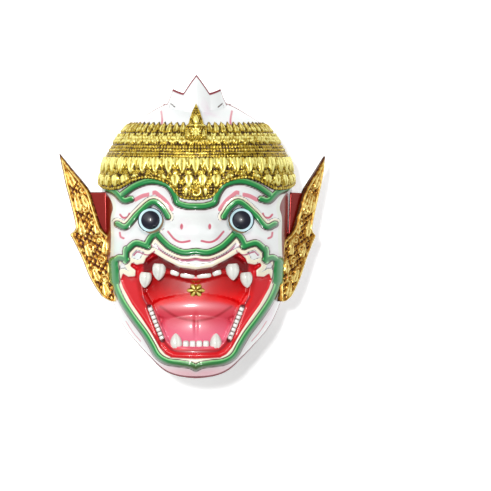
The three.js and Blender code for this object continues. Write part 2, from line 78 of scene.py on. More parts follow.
def smooth(points, step=1.5):
    """Catmull-Rom points along a line, about a step apart."""
    p = np.array(points, float)
    p = np.vstack([2 * p[0] - p[1], p, 2 * p[-1] - p[-2]])
    out = []
    for i in range(1, len(p) - 2):
        count = max(2, int(np.linalg.norm(p[i + 1] - p[i]) / step))
        for t in np.arange(count) / count:
            a = 2 * p[i] + (p[i + 1] - p[i - 1]) * t
            b = (2 * p[i - 1] - 5 * p[i] + 4 * p[i + 1] - p[i + 2]) * t * t
            c = (3 * p[i] - p[i - 1] - 3 * p[i + 1] + p[i + 2]) * t ** 3
            out.append((a + b + c) / 2)
    out.append(p[-2])
    return np.array(out)


def to_line(x, y, line):
    """Distance from points to a line, and the side they lie on: positive to its left."""
    best = np.full(x.shape, 1e9)
    side = np.zeros(x.shape)
    for (ax, ay), (bx, by) in zip(line[:-1], line[1:]):
        dx, dy = bx - ax, by - ay
        t = np.clip(((x - ax) * dx + (y - ay) * dy) / (dx * dx + dy * dy + 1e-12), 0, 1)
        gap = np.hypot(x - ax - t * dx, y - ay - t * dy)
        cross = dx * (y - ay) - dy * (x - ax)
        near = gap < best
        best = np.where(near, gap, best)
        side = np.where(near, np.sign(cross), side)
    return best, side


def inside(x, y, outline):
    """Signed distance to a closed outline: negative inside."""
    closed = np.vstack([outline, outline[:1]])
    gap, _ = to_line(x, y, closed)
    odd = np.zeros(x.shape, bool)
    for (ax, ay), (bx, by) in zip(closed[:-1], closed[1:]):
        crosses = (ay > y) != (by > y)
        odd ^= crosses & (x < (bx - ax) * (y - ay) / (by - ay + 1e-12) + ax)
    return np.where(odd, -gap, gap)


def step_up(value, low, high):
    s = np.clip((value - low) / (high - low), 0, 1)
    return s * s * (3 - 2 * s)


def bump(a, b):
    return np.exp(-(a * a + b * b))


# The head's form, as the frame has it, in millimetres from the widest line of the head

half_width = profile([
    (-160, 0), (-158, 17), (-152, 33), (-138, 48.5), (-124, 62), (-107, 76.5), (-85, 87.5), (-60, 94),
    (-39, 98), (0, 101), (30, 102), (63, 99), (72, 96), (90, 85.5), (107, 72.5), (118, 56), (129, 37),
    (134, 21), (136, 0)])
middle_depth = profile([
    (-160, 78), (-152, 70), (-138, 57), (-124, 43), (-107, 29), (-85, 14), (-60, 4), (-40, 0),
    (60, 0), (136, -4)])
front_reach = profile([
    (-160, 0), (-158, 13), (-152, 27), (-138, 47), (-124, 62), (-107, 77), (-85, 93), (-60, 107),
    (-40, 114), (-20, 111), (0, 103), (18, 98), (50, 99), (70, 96), (90, 88), (107, 74.5), (118, 58),
    (129, 38), (134, 21), (136, 0)])
back_reach = profile([
    (-160, 0), (-152, 14), (-124, 40), (-107, 72), (-85, 106), (-60, 104), (-30, 104), (0, 106),
    (30, 104.5), (60, 97), (90, 82), (107, 69), (118, 55), (129, 37), (134, 20), (136, 0)])


def moulding(x, y):
    side = np.abs(x)
    return (4 * bump((side - 47) / 32, (y - 40) / 11) - 8 * bump((side - 48) / 21, (y - 5) / 15)
            + 15 * bump(x / 21, (y + 3) / 15) + 5 * bump((side - 20) / 9, (y + 6) / 8)
            + 3 * bump(x / 14, (y - 20) / 12) + 5 * bump(x / 52, (y + 32) / 14)
            + 6 * bump((side - 68) / 17, (y + 14) / 15) + 4 * bump(x / 40, (y + 146) / 12))


def face_depth(x, y):
    share = np.minimum(np.abs(x) / np.maximum(half_width(y), 1e-6), 1)
    roundness = (1 - share ** FRONT_FULLNESS) ** (1 / FRONT_FULLNESS)
    fade = step_up(roundness, 0.2, 0.6)
    return middle_depth(y) + front_reach(y) * roundness + moulding(x, y) * fade


def head_point(turn, y):
    """Points of the head's outside for turns from straight ahead and heights."""
    side, ahead = np.sin(turn), np.cos(turn)
    ahead = np.where(np.abs(ahead) < 1e-9, 0, ahead)
    power = 2 / np.where(ahead >= 0, FRONT_FULLNESS, BACK_FULLNESS)
    x = half_width(y) * np.sign(side) * np.abs(side) ** power
    back = middle_depth(y) - back_reach(y) * np.abs(ahead) ** (2 / BACK_FULLNESS)
    z = np.where(ahead >= 0, face_depth(x, y), back)
    return np.stack([x, y + 0 * x, z], -1)


def head_normal(turn, y):
    step = 0.02
    low, high = np.maximum(y - 1.5, CHIN + 0.5), np.minimum(y + 1.5, CROWN - 0.5)
    across = head_point(turn + step, y) - head_point(turn - step, y)
    up = head_point(turn, high) - head_point(turn, low)
    normal = np.cross(across, up)
    return normal / np.maximum(np.linalg.norm(normal, axis=-1, keepdims=True), 1e-9)


# Lines of the face seen from the front: the viewer's right half, mirrored by |x|

BROW_ARCH = smooth([
    (77, 33), (63, 42), (47, 46.5), (32, 43.5), (25.6, 37.5), (21.9, 30.5),
    (19.5, 24), (10, 20.5), (0, 20)])
BROW_TAIL = smooth([(97, 40), (86, 35.5), (76.4, 26.5), (68, 28)])
EYELID = smooth([(83, 2), (73.5, -1), (61, 12.2), (46, 24.5), (36.8, 20), (29.5, 9.5)])
MOUSTACHE = [
    smooth([(0, -26.8), (13, -27.9), (25.6, -22.8), (33, -16.8), (41.4, -7.9)]),
    smooth([(41, -7.5), (47, -12.5), (51, -20.5)]),
    smooth([(50, -21.8), (56, -19.5), (64, -18.5), (73.5, -27)]),
    smooth([(73, -24.5), (73.5, -36.5)]),
    smooth([(72.5, -35.5), (82, -34), (89, -46)])]
JAW_BLOCK = smooth([(86.8, -38), (85.5, -58)])
JAW = smooth([
    (85.5, -56), (83, -67), (76.5, -81), (65.5, -97), (54, -112), (46.6, -124), (40, -135.5), (30, -141.5),
    (16, -143.5), (6, -145), (0, -148)])
MOUTH_EDGE = [
    (0, -45.5), (16.8, -43), (30, -36), (45, -27.4), (51.9, -33.7), (54, -38.9), (61.4, -40.5),
    (67.2, -38.4), (68.7, -42.1), (62.9, -46.3), (63.5, -52.6), (70.8, -53.2), (76.6, -49.5), (79.3, -56.8),
    (76.5, -65), (67, -82), (56.5, -96.5), (47.5, -110), (37.8, -127), (32, -133.8),
    (25, -137.4), (0, -138.4)]
THROAT_EDGE = [
    (0, -57), (28, -50), (44, -50), (57, -60), (54, -76), (46.5, -88), (33, -117), (25, -126), (0, -127)]
UPPER_GUM = smooth([
    (74, -61), (66, -56), (58, -49), (50, -42.5), (38, -36), (28, -40), (14, -44.8), (0, -46.8)])
LOWER_GUM = smooth([(56, -74), (48, -88), (41, -104), (34, -119), (28, -127), (20, -130.5), (0, -131)])
CHEEK_TEETH = [(48.5, -85), (41.5, -103), (35, -119)]
SIDE_TEETH = smooth(CHEEK_TEETH)
PINK_BROW = smooth([
    (63.5, 27.4), (56.1, 31.1), (49.8, 32.6), (46, 33.6), (42.4, 34.9), (38.2, 31.6), (33, 27.4),
    (27.7, 21.1), (25, 17)])
PINK_NOSE = smooth([(29, -6), (22, -14), (14.9, -17.1), (6, -15.8)])
PINK_TEMPLE = smooth([(80, 12), (76.5, 8.5), (71.5, 9.5), (70, 13)])
PINK_CHEEK = smooth([(80, -7), (79, -11.5), (75.5, -13)])
PINK_JAW = smooth([(74, -100), (66, -112), (58, -121)])
PINK_CROWN = smooth([(37.5, 122), (36, 112), (36.5, 103)])
PINK_LIP = smooth([(0, -34.5), (16, -34), (30, -24.5), (42, -15.5), (47, -22)])
TONGUE_FOLD = smooth([(37, -84.5), (20, -95), (0, -99.8)])
TONGUE = [(0, -79), (24, -79.5), (40, -84), (45, -89), (39, -104), (32, -119), (24, -127), (0, -128)]
FACE_EDGE = smooth([(100, 41), (92, 34), (87.5, 26), (86, 18), (88.3, 8), (88, -12), (89, -34), (92, -44)])


def mirrored(half):
    half = np.array(half, float)
    left = half[half[:, 0] > 0][::-1] * (-1, 1)
    return np.vstack([half, left])


def dome(x, y, centre, wide, tall, deep, depth):
    rest = 1 - (x / wide) ** 2 - ((y - centre) / tall) ** 2
    return np.where(rest > 0, depth + deep * np.sqrt(np.maximum(rest, 0)), -1e3)


def tube_top(gap, radius, centre):
    return np.where(gap < radius, centre + np.sqrt(np.maximum(radius ** 2 - gap ** 2, 0)), -1e3)


MOUTH_MIDDLE = -60
LIP_HOLLOW, THROAT_HOLLOW, LINER_HOLLOW = (103, 109, 199), (88, 99, 170), (83, 94, 165)


def hollow(x, y, deep, wide, tall):
    """Depth of the egg-shaped hollow behind the lips."""
    return deep * np.sqrt(np.maximum(1 - (x / wide) ** 2 - ((y - MOUTH_MIDDLE) / tall) ** 2, 0))


def face_fields(x, y):
    """Distances in millimetres to everything painted or raised on the face."""
    a = np.abs(x)
    f = {}
    arch, arch_side = to_line(a, y, BROW_ARCH)
    tail, tail_side = to_line(a, y, BROW_TAIL)
    lid, lid_side = to_line(a, y, EYELID)
    jaw, jaw_side = to_line(a, y, JAW)
    block, _ = to_line(a, y, JAW_BLOCK)
    tache, tache_side = to_line(a, y, MOUSTACHE[0])
    side_tache = tache_side * tache
    for line in MOUSTACHE[1:]:
        gap, side = to_line(a, y, line)
        near = gap < tache
        tache = np.where(near, gap, tache)
        side_tache = np.where(near, gap * side, side_tache)
    f["brow"] = np.minimum(arch, tail)
    f["lid"], f["jaw"], f["block"], f["tache"] = lid, jaw, block, tache
    rims = [(arch, -arch_side * arch, 3.1), (tail, -tail_side * tail, 2.9), (lid, -lid_side * lid, 2.9),
            (tache, side_tache, 3.0), (jaw, -jaw_side * jaw, 3.2), (block, 0 * block, 5.0)]
    green = np.full(x.shape, 1e3)
    green_side = np.zeros(x.shape)
    for gap, side, half in rims:
        near = gap - half < green
        green = np.where(near, gap - half, green)
        green_side = np.where(near, side, green_side)
    f["green"], f["green_side"] = green, green_side
    f["mouth"] = inside(x, y, mirrored(MOUTH_EDGE))
    f["throat"] = inside(x, y, mirrored(THROAT_EDGE))
    f["upper_gum"] = to_line(a, y, UPPER_GUM)[0]
    f["gum_shadow"] = np.maximum(f["upper_gum"] - 5.5, a - 55)
    f["tooth_line"] = to_line(a, y, SIDE_TEETH)[0]
    f["lower_gum"] = to_line(a, y, LOWER_GUM)[0]
    f["cream"] = np.minimum.reduce([
        np.abs(-side_tache - 4.9) - 1.5, np.abs(-lid_side * lid - 4.6) - 1.3,
        np.abs(f["mouth"] - 2.4) - 2.2])
    f["cream"] = np.minimum(f["cream"], a + 1.3 * np.abs(y + 143) - 3.6)
    f["mauve"] = np.maximum(np.abs(-side_tache - 8.6) - 0.8, a - 66)
    brow_pink = to_line(a, y, PINK_BROW)[0] - 2.1
    f["pink_band"] = np.maximum(brow_pink, 1.6 - np.abs(a - 47))
    lines = (PINK_NOSE, PINK_TEMPLE, PINK_CHEEK, PINK_LIP, PINK_CROWN)
    marks = [to_line(a, y, line)[0] - 1.1 for line in lines]
    marks.append(to_line(a, y, PINK_JAW)[0] - 0.5)
    marks.append((np.hypot((a - NOSTRIL[0]) / 0.5, y - NOSTRIL[1]) - 3.2) * 0.6)
    f["pink_mark"] = np.minimum.reduce(marks)
    f["fold"] = to_line(a, y, TONGUE_FOLD)[0]
    f["tongue"] = inside(x, y, mirrored(TONGUE))
    edge, edge_side = to_line(a, y, FACE_EDGE)
    f["edge"] = edge * edge_side
    return f


def carved_depth(x, y, f):
    """Depth of the finished face: ridges, lips, mouth, gums and tongue."""
    z = face_depth(x, y)
    from_eye = np.hypot(np.abs(x) - EYE[0], y - EYE[1])
    eye_level = face_depth(np.array(EYE[0]), np.array(EYE[1])) + EYE_RISE - EYE_DOME
    socket = eye_level + np.sqrt(np.maximum(EYE_DOME ** 2 - from_eye ** 2, 0)) - 0.9
    z = z + (np.minimum(z, socket) - z) * step_up(-from_eye, -15.5, -12.8)
    ground = z.copy()
    raised = np.zeros(x.shape)
    for gap, half, height in ((f["brow"], 3.4, 3.0), (f["lid"], 3.3, 3.0), (f["tache"], 3.4, 2.6),
                              (f["jaw"], 3.6, 3.4), (f["block"], 5.4, 4.4)):
        raised = np.maximum(raised, height * np.maximum(1 - (gap / half) ** 2, 0) ** 0.8)
    cream = 1.9 * step_up(-f["cream"], -0.9, 1.1)
    band = 0.5 * step_up(-f["pink_band"], -0.5, 0.5)
    raised = np.maximum(raised, np.maximum(cream, band))
    share = np.minimum(np.abs(x) / half_width(y), 1)
    raised = raised * (1 - step_up(share, 0.95, 1.0))
    nostril = 2.2 * bump((np.abs(x) - NOSTRIL[0]) / 2.4, (y - NOSTRIL[1]) / 4.2)
    z = z + raised - nostril
    lip_floor, throat_floor = hollow(x, y, *LIP_HOLLOW), hollow(x, y, *THROAT_HOLLOW)
    into_mouth = step_up(-f["mouth"], -0.2, 2.4)
    into_throat = step_up(-f["throat"], 0, 3.0)
    floor = lip_floor + (throat_floor - lip_floor) * into_throat
    tongue = np.maximum(dome(x, y, -108, 38, 23, 11, 80), dome(x, y, -86, 48, 15, 6.5, 83))
    groove = 0.8 * bump(x / 2.2, np.maximum(np.abs(y + 106) - 10, 0) / 4)
    over = tongue - groove - floor
    floor = np.where(over > -30, floor + (over + np.sqrt(over ** 2 + 9)) / 2, floor)
    floor = np.maximum(floor, tube_top(f["upper_gum"], 5.5, ground - 12))
    floor = np.maximum(floor, tube_top(f["lower_gum"], 5.0, ground - 13))
    floor = floor - 2.8 * np.exp(-(f["tooth_line"] / 3.4) ** 4)
    floor = np.minimum(floor, z)
    return z + (floor - z) * into_mouth


# The crest: a lotus bud with pointed petals on the crown

def crest_mesh():
    across, along, foot = 38.0, 50.0, 100.0
    steps, away = 240, 20.0
    turn = np.arange(steps) * 2 * math.pi / steps
    ahead = np.cos(turn)
    petal = (np.degrees(turn) / 45 + 0.5) % 1 * 2 - 1
    peak = 131 + np.where(ahead > 0, 29, 12) * ahead ** 2
    valley = np.maximum(peak - 15, 128)
    height = valley + (peak - valley) * (1 - np.abs(petal)) ** 1.15
    inside_rows = [(0.9, -0.5), (0.85, -3), (0.8, -7), (0.74, -10)]
    rings, mark, ink_and_ridge_shadow = [], [], []
    for t in np.linspace(0, 1, 34):
        share = 1 + 0.03 * math.sin(math.pi * t) - 0.06 * t ** 2
        y = foot + (height - foot) * t
        bulge = 0.035 * (1 - petal ** 2) * math.sin(math.pi * min(t * 1.2, 1))
        x, z = across * (share + bulge) * np.sin(turn), along * (share + bulge) * np.cos(turn)
        rings.append(np.stack([x, y, z], -1))
        degrees = np.degrees(np.minimum(turn, 2 * math.pi - turn))
        side_line = (np.abs(degrees - 73) - 4) * 0.3 + np.maximum(y - 127, 0)
        mark.append(np.minimum((height - y) * 0.62 - 1.7, side_line))
        arch = np.abs((height - y) - 15.5 - 4.5 * np.abs(petal)) + 6 * np.maximum(np.abs(petal) - 0.4, 0)
        ink_and_ridge_shadow.append(np.where(peak < 158, arch - 0.8, away))
    for share, drop in inside_rows:
        x, z = across * share * np.sin(turn), along * share * np.cos(turn)
        rings.append(np.stack([x, height + drop, z], -1))
        mark.append(np.full(steps, away if drop < -2 else -1.0))
        ink_and_ridge_shadow.append(np.full(steps, away))
    for share, y in ((0.55, 132.0), (0.3, 136.5), (0.1, 138.0)):
        x, z = across * share * np.sin(turn), along * share * np.cos(turn)
        rings.append(np.stack([x, np.full(steps, y), z], -1))
        mark.append(np.full(steps, away))
        ink_and_ridge_shadow.append(np.full(steps, away))
    rows = len(rings)
    points = np.vstack([np.array(rings).reshape(-1, 3), [(0, foot, 0), (0, 138.2, 0)]])
    points[:, 2] += REST_DEPTH
    faces = [tuple(q) for q in grid_faces(rows, steps, closed=True)]
    first = np.arange(steps)
    faces += fan(rows * steps, first[::-1])
    faces += fan(rows * steps + 1, first + (rows - 1) * steps)
    pad = [away, away]
    return points, faces, np.concatenate([np.ravel(mark), pad]), np.concatenate([np.ravel(ink_and_ridge_shadow), pad])


# Meshes

def add_mesh(name, points, faces, attributes=None, shade=True):
    mesh = bpy.data.meshes.new(name)
    mesh.from_pydata([tuple(p) for p in np.asarray(points) * MM], [], [tuple(f) for f in faces])
    for key, values in (attributes or {}).items():
        layer = mesh.attributes.new(key, "FLOAT", "POINT")
        layer.data.foreach_set("value", np.asarray(values, np.float32))
    mesh.polygons.foreach_set("use_smooth", [shade] * len(mesh.polygons))
    mesh.validate()
    obj = bpy.data.objects.new(name, mesh)
    bpy.context.scene.collection.objects.link(obj)
    return obj


def grid_faces(rows, columns, closed=False, flip=False, start=0):
    """Quads of a grid of points stored row by row."""
    index = np.arange(rows * columns).reshape(rows, columns) + start
    if closed:
        index = np.hstack([index, index[:, :1]])
    a, b, c, d = index[:-1, :-1], index[:-1, 1:], index[1:, 1:], index[1:, :-1]
    quads = np.stack([a, b, c, d], -1).reshape(-1, 4)
    return quads[:, ::-1] if flip else quads


def skirt(ring, shift):
    """Quads from a closed ring of points to the ring that lies shift places further on."""
    return [(b, a, a + shift, b + shift) for a, b in zip(ring, np.roll(ring, -1))]


def fan(pole, ring):
    return [(pole, a, b) for a, b in zip(ring, np.roll(ring, -1))]


def finish_piece(obj, material, slot, *nodes):
    obj.data.materials.append(material)
    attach(obj, "root")
    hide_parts(*nodes)
    return obj


def head_turns():
    """Turns round the head: close together across the face, wider behind."""
    across = np.linspace(-0.9, 0.9, 147)
    face = np.sign(across) * np.arcsin(np.abs(across) ** (FRONT_FULLNESS / 2))
    edge = face[-1]
    side = np.linspace(edge, math.pi / 2, 19)[1:]
    back = np.linspace(math.pi / 2, 3 * math.pi / 2, 53)[1:-1]
    return np.concatenate([-side[::-1], face, side, back])


def head_heights():
    low = CHIN + 4 * np.array([0.06, 0.25, 0.6, 1.0])
    face = np.arange(-154.8, 56, 1.3)
    under_band = np.linspace(56, 98, 9)[1:]
    crown = np.arange(99.4, 129, 1.4)
    return np.concatenate([low, face, under_band, crown, [130.5, 132.5, 134, 135.2]])


def head_mesh():
    turns, heights = head_turns(), head_heights()
    turn, y = np.meshgrid(turns, heights)
    base = head_point(turn, y)
    normal = head_normal(turn, y)
    x = base[..., 0]
    front = np.cos(turn) > 0
    fields = face_fields(np.where(front, x, 1e3), y)
    carved = carved_depth(np.where(front, x, 0), y, fields)
    lift = np.where(front, carved - base[..., 2], 0)
    lean = step_up(np.abs(x) / np.maximum(half_width(y), 1e-6), 0.8, 0.98)[..., None]
    forward = np.array([0, 0, 1.0])
    direction = np.where(lift[..., None] > 0, forward * (1 - lean) + normal * lean, forward)
    outer = base + direction * lift[..., None]
    outer[..., 2] = np.maximum(outer[..., 2], -REST_DEPTH)
    inner = base - normal * WALL
    mouth_back = (fields["mouth"] < 6) & front
    liner = hollow(x, y, *LINER_HOLLOW)
    sunk = step_up(-fields["mouth"], -7, 1)
    depth = inner[..., 2]
    inner[..., 2] = np.where(mouth_back, depth + (np.minimum(liner, depth) - depth) * sunk, depth)
    rows, columns = turn.shape
    behind = np.cos(turn) < -1e-9
    kept = ~(behind & (y < -85.6))
    quads = grid_faces(rows, columns, closed=True)
    kept_flat = kept.ravel()
    quads = quads[kept_flat[quads].all(1)]
    count = rows * columns
    points = np.vstack([outer.reshape(-1, 3), inner.reshape(-1, 3), [(0, CHIN, 78), (0, CROWN, -4)],
                        [(0, CHIN + WALL + 2, 76), (0, CROWN - WALL, -4)]])
    points[:, 2] += REST_DEPTH
    bottom, top, bottom_in, top_in = 2 * count, 2 * count + 1, 2 * count + 2, 2 * count + 3
    first = np.arange(columns)
    following = np.roll(first, -1)
    chin = [(bottom, b, a) for a, b in zip(first, following) if kept_flat[a] and kept_flat[b]]
    last = first + (rows - 1) * columns
    faces = [tuple(q) for q in quads] + chin + fan(top, last)
    inner_of = {bottom: bottom_in, top: top_in}
    turned = [tuple(inner_of.get(i, i + count) for i in reversed(f)) for f in faces]
    edges = dict.fromkeys(edge for f in faces for edge in zip(f, f[1:] + f[:1]))
    rim = [(b, a) for a, b in edges if (b, a) not in edges]
    strip = [(a, b, inner_of.get(b, b + count), inner_of.get(a, a + count)) for a, b in rim]
    data, pad = {}, np.zeros(4)
    # Dark lines along both sides of the green and cream ridges: partly ink outlines, partly painted shadow
    # at the ridges' edges.
    fields["ink_and_ridge_shadow"] = np.minimum(np.abs(fields["green"] - 0.5) - 0.7, np.abs(fields["cream"] - 0.7) - 0.4)
    fields["edge"] = np.minimum(fields["edge"], base[..., 2] - 6)
    from_widest = base[..., 2] - middle_depth(y)
    on_face = step_up(100 - y, 0, 6) * step_up(y + 75, 0, 6)
    on_crown = step_up(y, 98, 104)
    # A dark band where the crown and jaw turn away from the front: a painted outline that also stands in for
    # painted shade at the edges.
    outline = np.abs(from_widest - 11 - 2 * on_crown) - 8
    fields["rim"] = np.maximum(outline, 40 * on_face - 20)
    for key in ("green", "green_side", "cream", "pink_band", "pink_mark", "mouth", "throat", "gum_shadow",
                "tooth_line", "lower_gum", "fold", "tongue", "edge", "ink_and_ridge_shadow", "rim", "mauve"):
        away = -40.0 if key == "edge" else 40.0
        values = np.where(front, fields[key], away).ravel()
        far = np.full(count, away)
        data[key] = np.concatenate([values, far, pad + away])
    data["inner_side"] = np.concatenate([np.zeros(count), np.ones(count), [0, 0, 1, 1]])
    used = np.unique(np.concatenate([np.array(f) for f in faces + turned]))
    renumber = np.full(len(points), -1)
    renumber[used] = np.arange(len(used))
    all_faces = [tuple(renumber[list(f)]) for f in faces + turned + strip]
    crest_points, crest_faces, mark, ink_and_ridge_shadow = crest_mesh()
    all_faces += [tuple(i + len(used) for i in f) for f in crest_faces]
    known = {"rim": 4 * mark, "ink_and_ridge_shadow": ink_and_ridge_shadow, "inner_side": 0 * mark, "edge": 0 * mark - 40}
    data = {k: np.concatenate([v[used], known.get(k, 0 * mark + 40)]) for k, v in data.items()}
    return np.vstack([points[used], crest_points]), all_faces, data


def merge(*parts):
    """One mesh from several (points, faces, relief) parts."""
    points, faces, relief, start = [], [], [], 0
    for p, f, r in parts:
        points.append(np.asarray(p, float).reshape(-1, 3))
        faces += [tuple(np.asarray(face) + start) for face in f]
        relief.append(np.asarray(r, float).ravel())
        start += len(points[-1])
    return np.vstack(points), faces, np.concatenate(relief)


def slab(front, back, relief):
    """Closed mesh between two grids of points that share their edges' rows and columns."""
    rows, columns = front.shape[:2]
    count = rows * columns
    faces = [tuple(q) for q in grid_faces(rows, columns)]
    faces += [tuple(q) for q in grid_faces(rows, columns, flip=True, start=count)]
    index = np.arange(count).reshape(rows, columns)
    ring = np.concatenate([index[0, :-1], index[:-1, -1], index[-1, :0:-1], index[:0:-1, 0]])
    faces += skirt(ring, count)
    points = np.vstack([front.reshape(-1, 3), back.reshape(-1, 3)])
    return points, faces, np.concatenate([relief.ravel(), np.zeros(count)])


# Gilt carving: heights in millimetres over a pattern's own coordinates

def cell(s, pitch, shift=0.0):
    """Place across the nearest of a row of equal cells, and the cell's number."""
    number = np.floor(s / pitch + 0.5 + shift)
    return s - (number - shift) * pitch, number


def leaf(a, t, half):
    """A pointed, veined leaf: a across, t from foot 0 to tip 1."""
    width = half * np.clip(1 - np.clip(t, 0, 1) ** 1.7, 0, 1) * np.clip(0.55 + 2.2 * np.clip(t, 0, 1), 0, 1)
    inner = np.where((t > 0) & (t < 1), width - np.abs(a), -1.0)
    body = step_up(inner, 0, 0.28 * half)
    vein = 0.45 * np.exp(-(a / (0.13 * half)) ** 2)
    return body * (1 - vein)


def bead(a, b, radius):
    return np.sqrt(np.clip(1 - (a * a + b * b) / radius ** 2, 0, 1))


def flower(a, b, radius, petals=6):
    r = np.hypot(a, b) / radius
    angle = np.arctan2(b, a)
    lobe = 0.62 + 0.38 * np.abs(np.cos(angle * petals / 2))
    body = step_up(lobe - r, 0, 0.22) * (0.75 + 0.25 * np.cos(angle * petals) ** 2)
    return np.maximum(body * (1 - 0.5 * np.exp(-((r - 0.34) / 0.08) ** 2)), bead(a, b, radius * 0.3))


BAND_THICKNESS, BAND_CLEARANCE = 2.4, 0.35
BAND_TOP = profile([(0, 103), (60, 104), (100, 106), (180, 100)])
BAND_FOOT = profile([
    (0, 28), (6, 31), (13, 44.5), (25, 50.5), (35, 48), (50, 40), (75, 44), (100, 60), (180, 60)])


def band_places():
    """Arc length round the band against turn, at the band's middle height."""
    turns = np.linspace(0, math.pi, 721)
    points = head_point(turns, np.full(turns.shape, 70.0))
    length = np.concatenate([[0], np.cumsum(np.linalg.norm(np.diff(points, axis=0), axis=1))])
    return turns, length


def band_relief(s, y, top, foot, front):
    """Height of the diadem's carving above its ground."""
    tip_pitch, petal_pitch, drop_pitch = 8.6, 10.4, 13.6
    a, _ = cell(s, tip_pitch)
    lift = 2.2 * leaf(a, (y - (top - 6.5)) / 10.5, tip_pitch * 0.5)
    a, _ = cell(s, petal_pitch)
    lift = np.maximum(lift, 2.9 * flower(a, y - (top - 13.0), 6.0))
    lift = np.maximum(lift, 2.2 * leaf(a - petal_pitch / 2 * np.sign(a), (y - (top - 19)) / 11, 2.6))
    a, _ = cell(s, 3.4)
    lift = np.maximum(lift, 1.7 * bead(a, y - (top - 21.6), 1.65))
    lift = np.maximum(lift, 1.9 * bead(a, y - (top - 25.0), 1.6))
    a, _ = cell(s, 2.9, 0.5)
    lift = np.maximum(lift, 1.6 * bead(a, y - (top - 30.8), 1.4))
    lift = np.maximum(lift, 1.8 * np.exp(-((y - (top - 28.2)) / 0.8) ** 4))
    a, _ = cell(s, drop_pitch)
    fall = (top - 33.0 - y) / 19.0
    lift = np.maximum(lift, 3.1 * leaf(a, fall, drop_pitch * 0.47))
    lift = np.maximum(lift, 1.6 * flower(a, y - (top - 38.5), 3.6, 5))
    b, _ = cell(s, drop_pitch, 0.5)
    lift = np.maximum(lift, 2.5 * leaf(b, fall * 1.45, drop_pitch * 0.34))
    lift = np.maximum(lift, 2.2 * flower(b, y - (top - 48), 3.4, 5))
    lower = (top - 50.5 - y) / 15.0
    lift = np.maximum(lift, 2.8 * leaf(b, lower, drop_pitch * 0.46))
    lift = np.maximum(lift, 2.3 * flower(a, y - (top - 58), 3.8, 5))
    low_field = step_up(top - 62 - y, 0, 2)
    swirl = np.maximum(2.7 * curl(s, (y - 35.5) * 0.9, 7.6), 2.5 * curl(np.abs(s) - 12.5, y - 43.5, 5.2))
    swirl = np.maximum(swirl, 2.5 * leaf(np.abs(s) - 9.6, (40 - y) / 11, 2.4))
    lift = np.where(low_field > 0.5, np.maximum(lift * (1 - low_field), swirl * front), lift)
    g, _ = cell(s, 3.1)
    h, _ = cell(y - top, 3.1)
    lift = np.maximum(lift, 1.0 * bead(g, h, 1.6))
    over_foot = y - foot
    c, _ = cell(s, 3.6)
    lift = np.where(over_foot < 4.6, 0.6 * lift * step_up(over_foot, 3.2, 4.6), lift)
    lift = np.maximum(lift, 1.9 * bead(c, over_foot - 2.0, 1.75))
    return lift * np.where(front, 1.0, 0.8)


def diadem_band():
    turns, length = band_places()
    half = length[-1]
    front_end = np.interp(math.pi / 2, turns, length)
    fine = np.arange(0, front_end, 0.66)
    coarse = np.linspace(front_end, half, 150)
    side = np.concatenate([fine, coarse])
    s = np.concatenate([-side[:0:-1], side[:-1]])
    turn = np.sign(s) * np.interp(np.abs(s), length, turns)
    degrees = np.degrees(np.abs(turn))
    a, _ = cell(s, 8.6)
    tips = 4.2 * np.clip(1 - np.abs(a) / 4.1, 0, 1) ** 0.85
    c, _ = cell(s, 3.6)
    top, foot = BAND_TOP(degrees), BAND_FOOT(degrees)
    outer_rows, inner_rows = 96, 9
    rows = np.linspace(0, 1, outer_rows)[:, None]
    low = foot - 2.4 + 0.7 * np.abs(c) / 1.8
    y = low + (top + tips - low) * rows
    turn_grid = turn + 0 * y
    front = np.abs(turn_grid) <= math.pi / 2
    relief = band_relief(s + 0 * y, y, top + 0 * y, foot - 2.4 + 0 * y, front)
    base = head_point(turn_grid, y)
    normal = head_normal(turn_grid, y)
    flare = 3.0 * step_up(62 - y, 0, 20) * step_up(degrees, 45, 80) - 1.2 * step_up(degrees, 50, 80)
    outer = base + normal * (BAND_THICKNESS + relief + flare)[..., None]
    picked = np.linspace(0, outer_rows - 1, inner_rows).astype(int)
    inner = base[picked] + normal[picked] * BAND_CLEARANCE
    outer[..., 2] += REST_DEPTH
    inner[..., 2] += REST_DEPTH
    columns = len(s)
    count = outer_rows * columns
    faces = [tuple(q) for q in grid_faces(outer_rows, columns, closed=True)]
    faces += [tuple(q) for q in grid_faces(inner_rows, columns, closed=True, flip=True, start=count)]
    first = np.arange(columns)
    faces += skirt(first, count)
    faces += skirt((first + count - columns)[::-1], inner_rows * columns)
    points = np.vstack([outer.reshape(-1, 3), inner.reshape(-1, 3)])
    shade = np.concatenate([(relief / 3).ravel(), np.zeros(inner_rows * columns)])
    return points, faces, shade


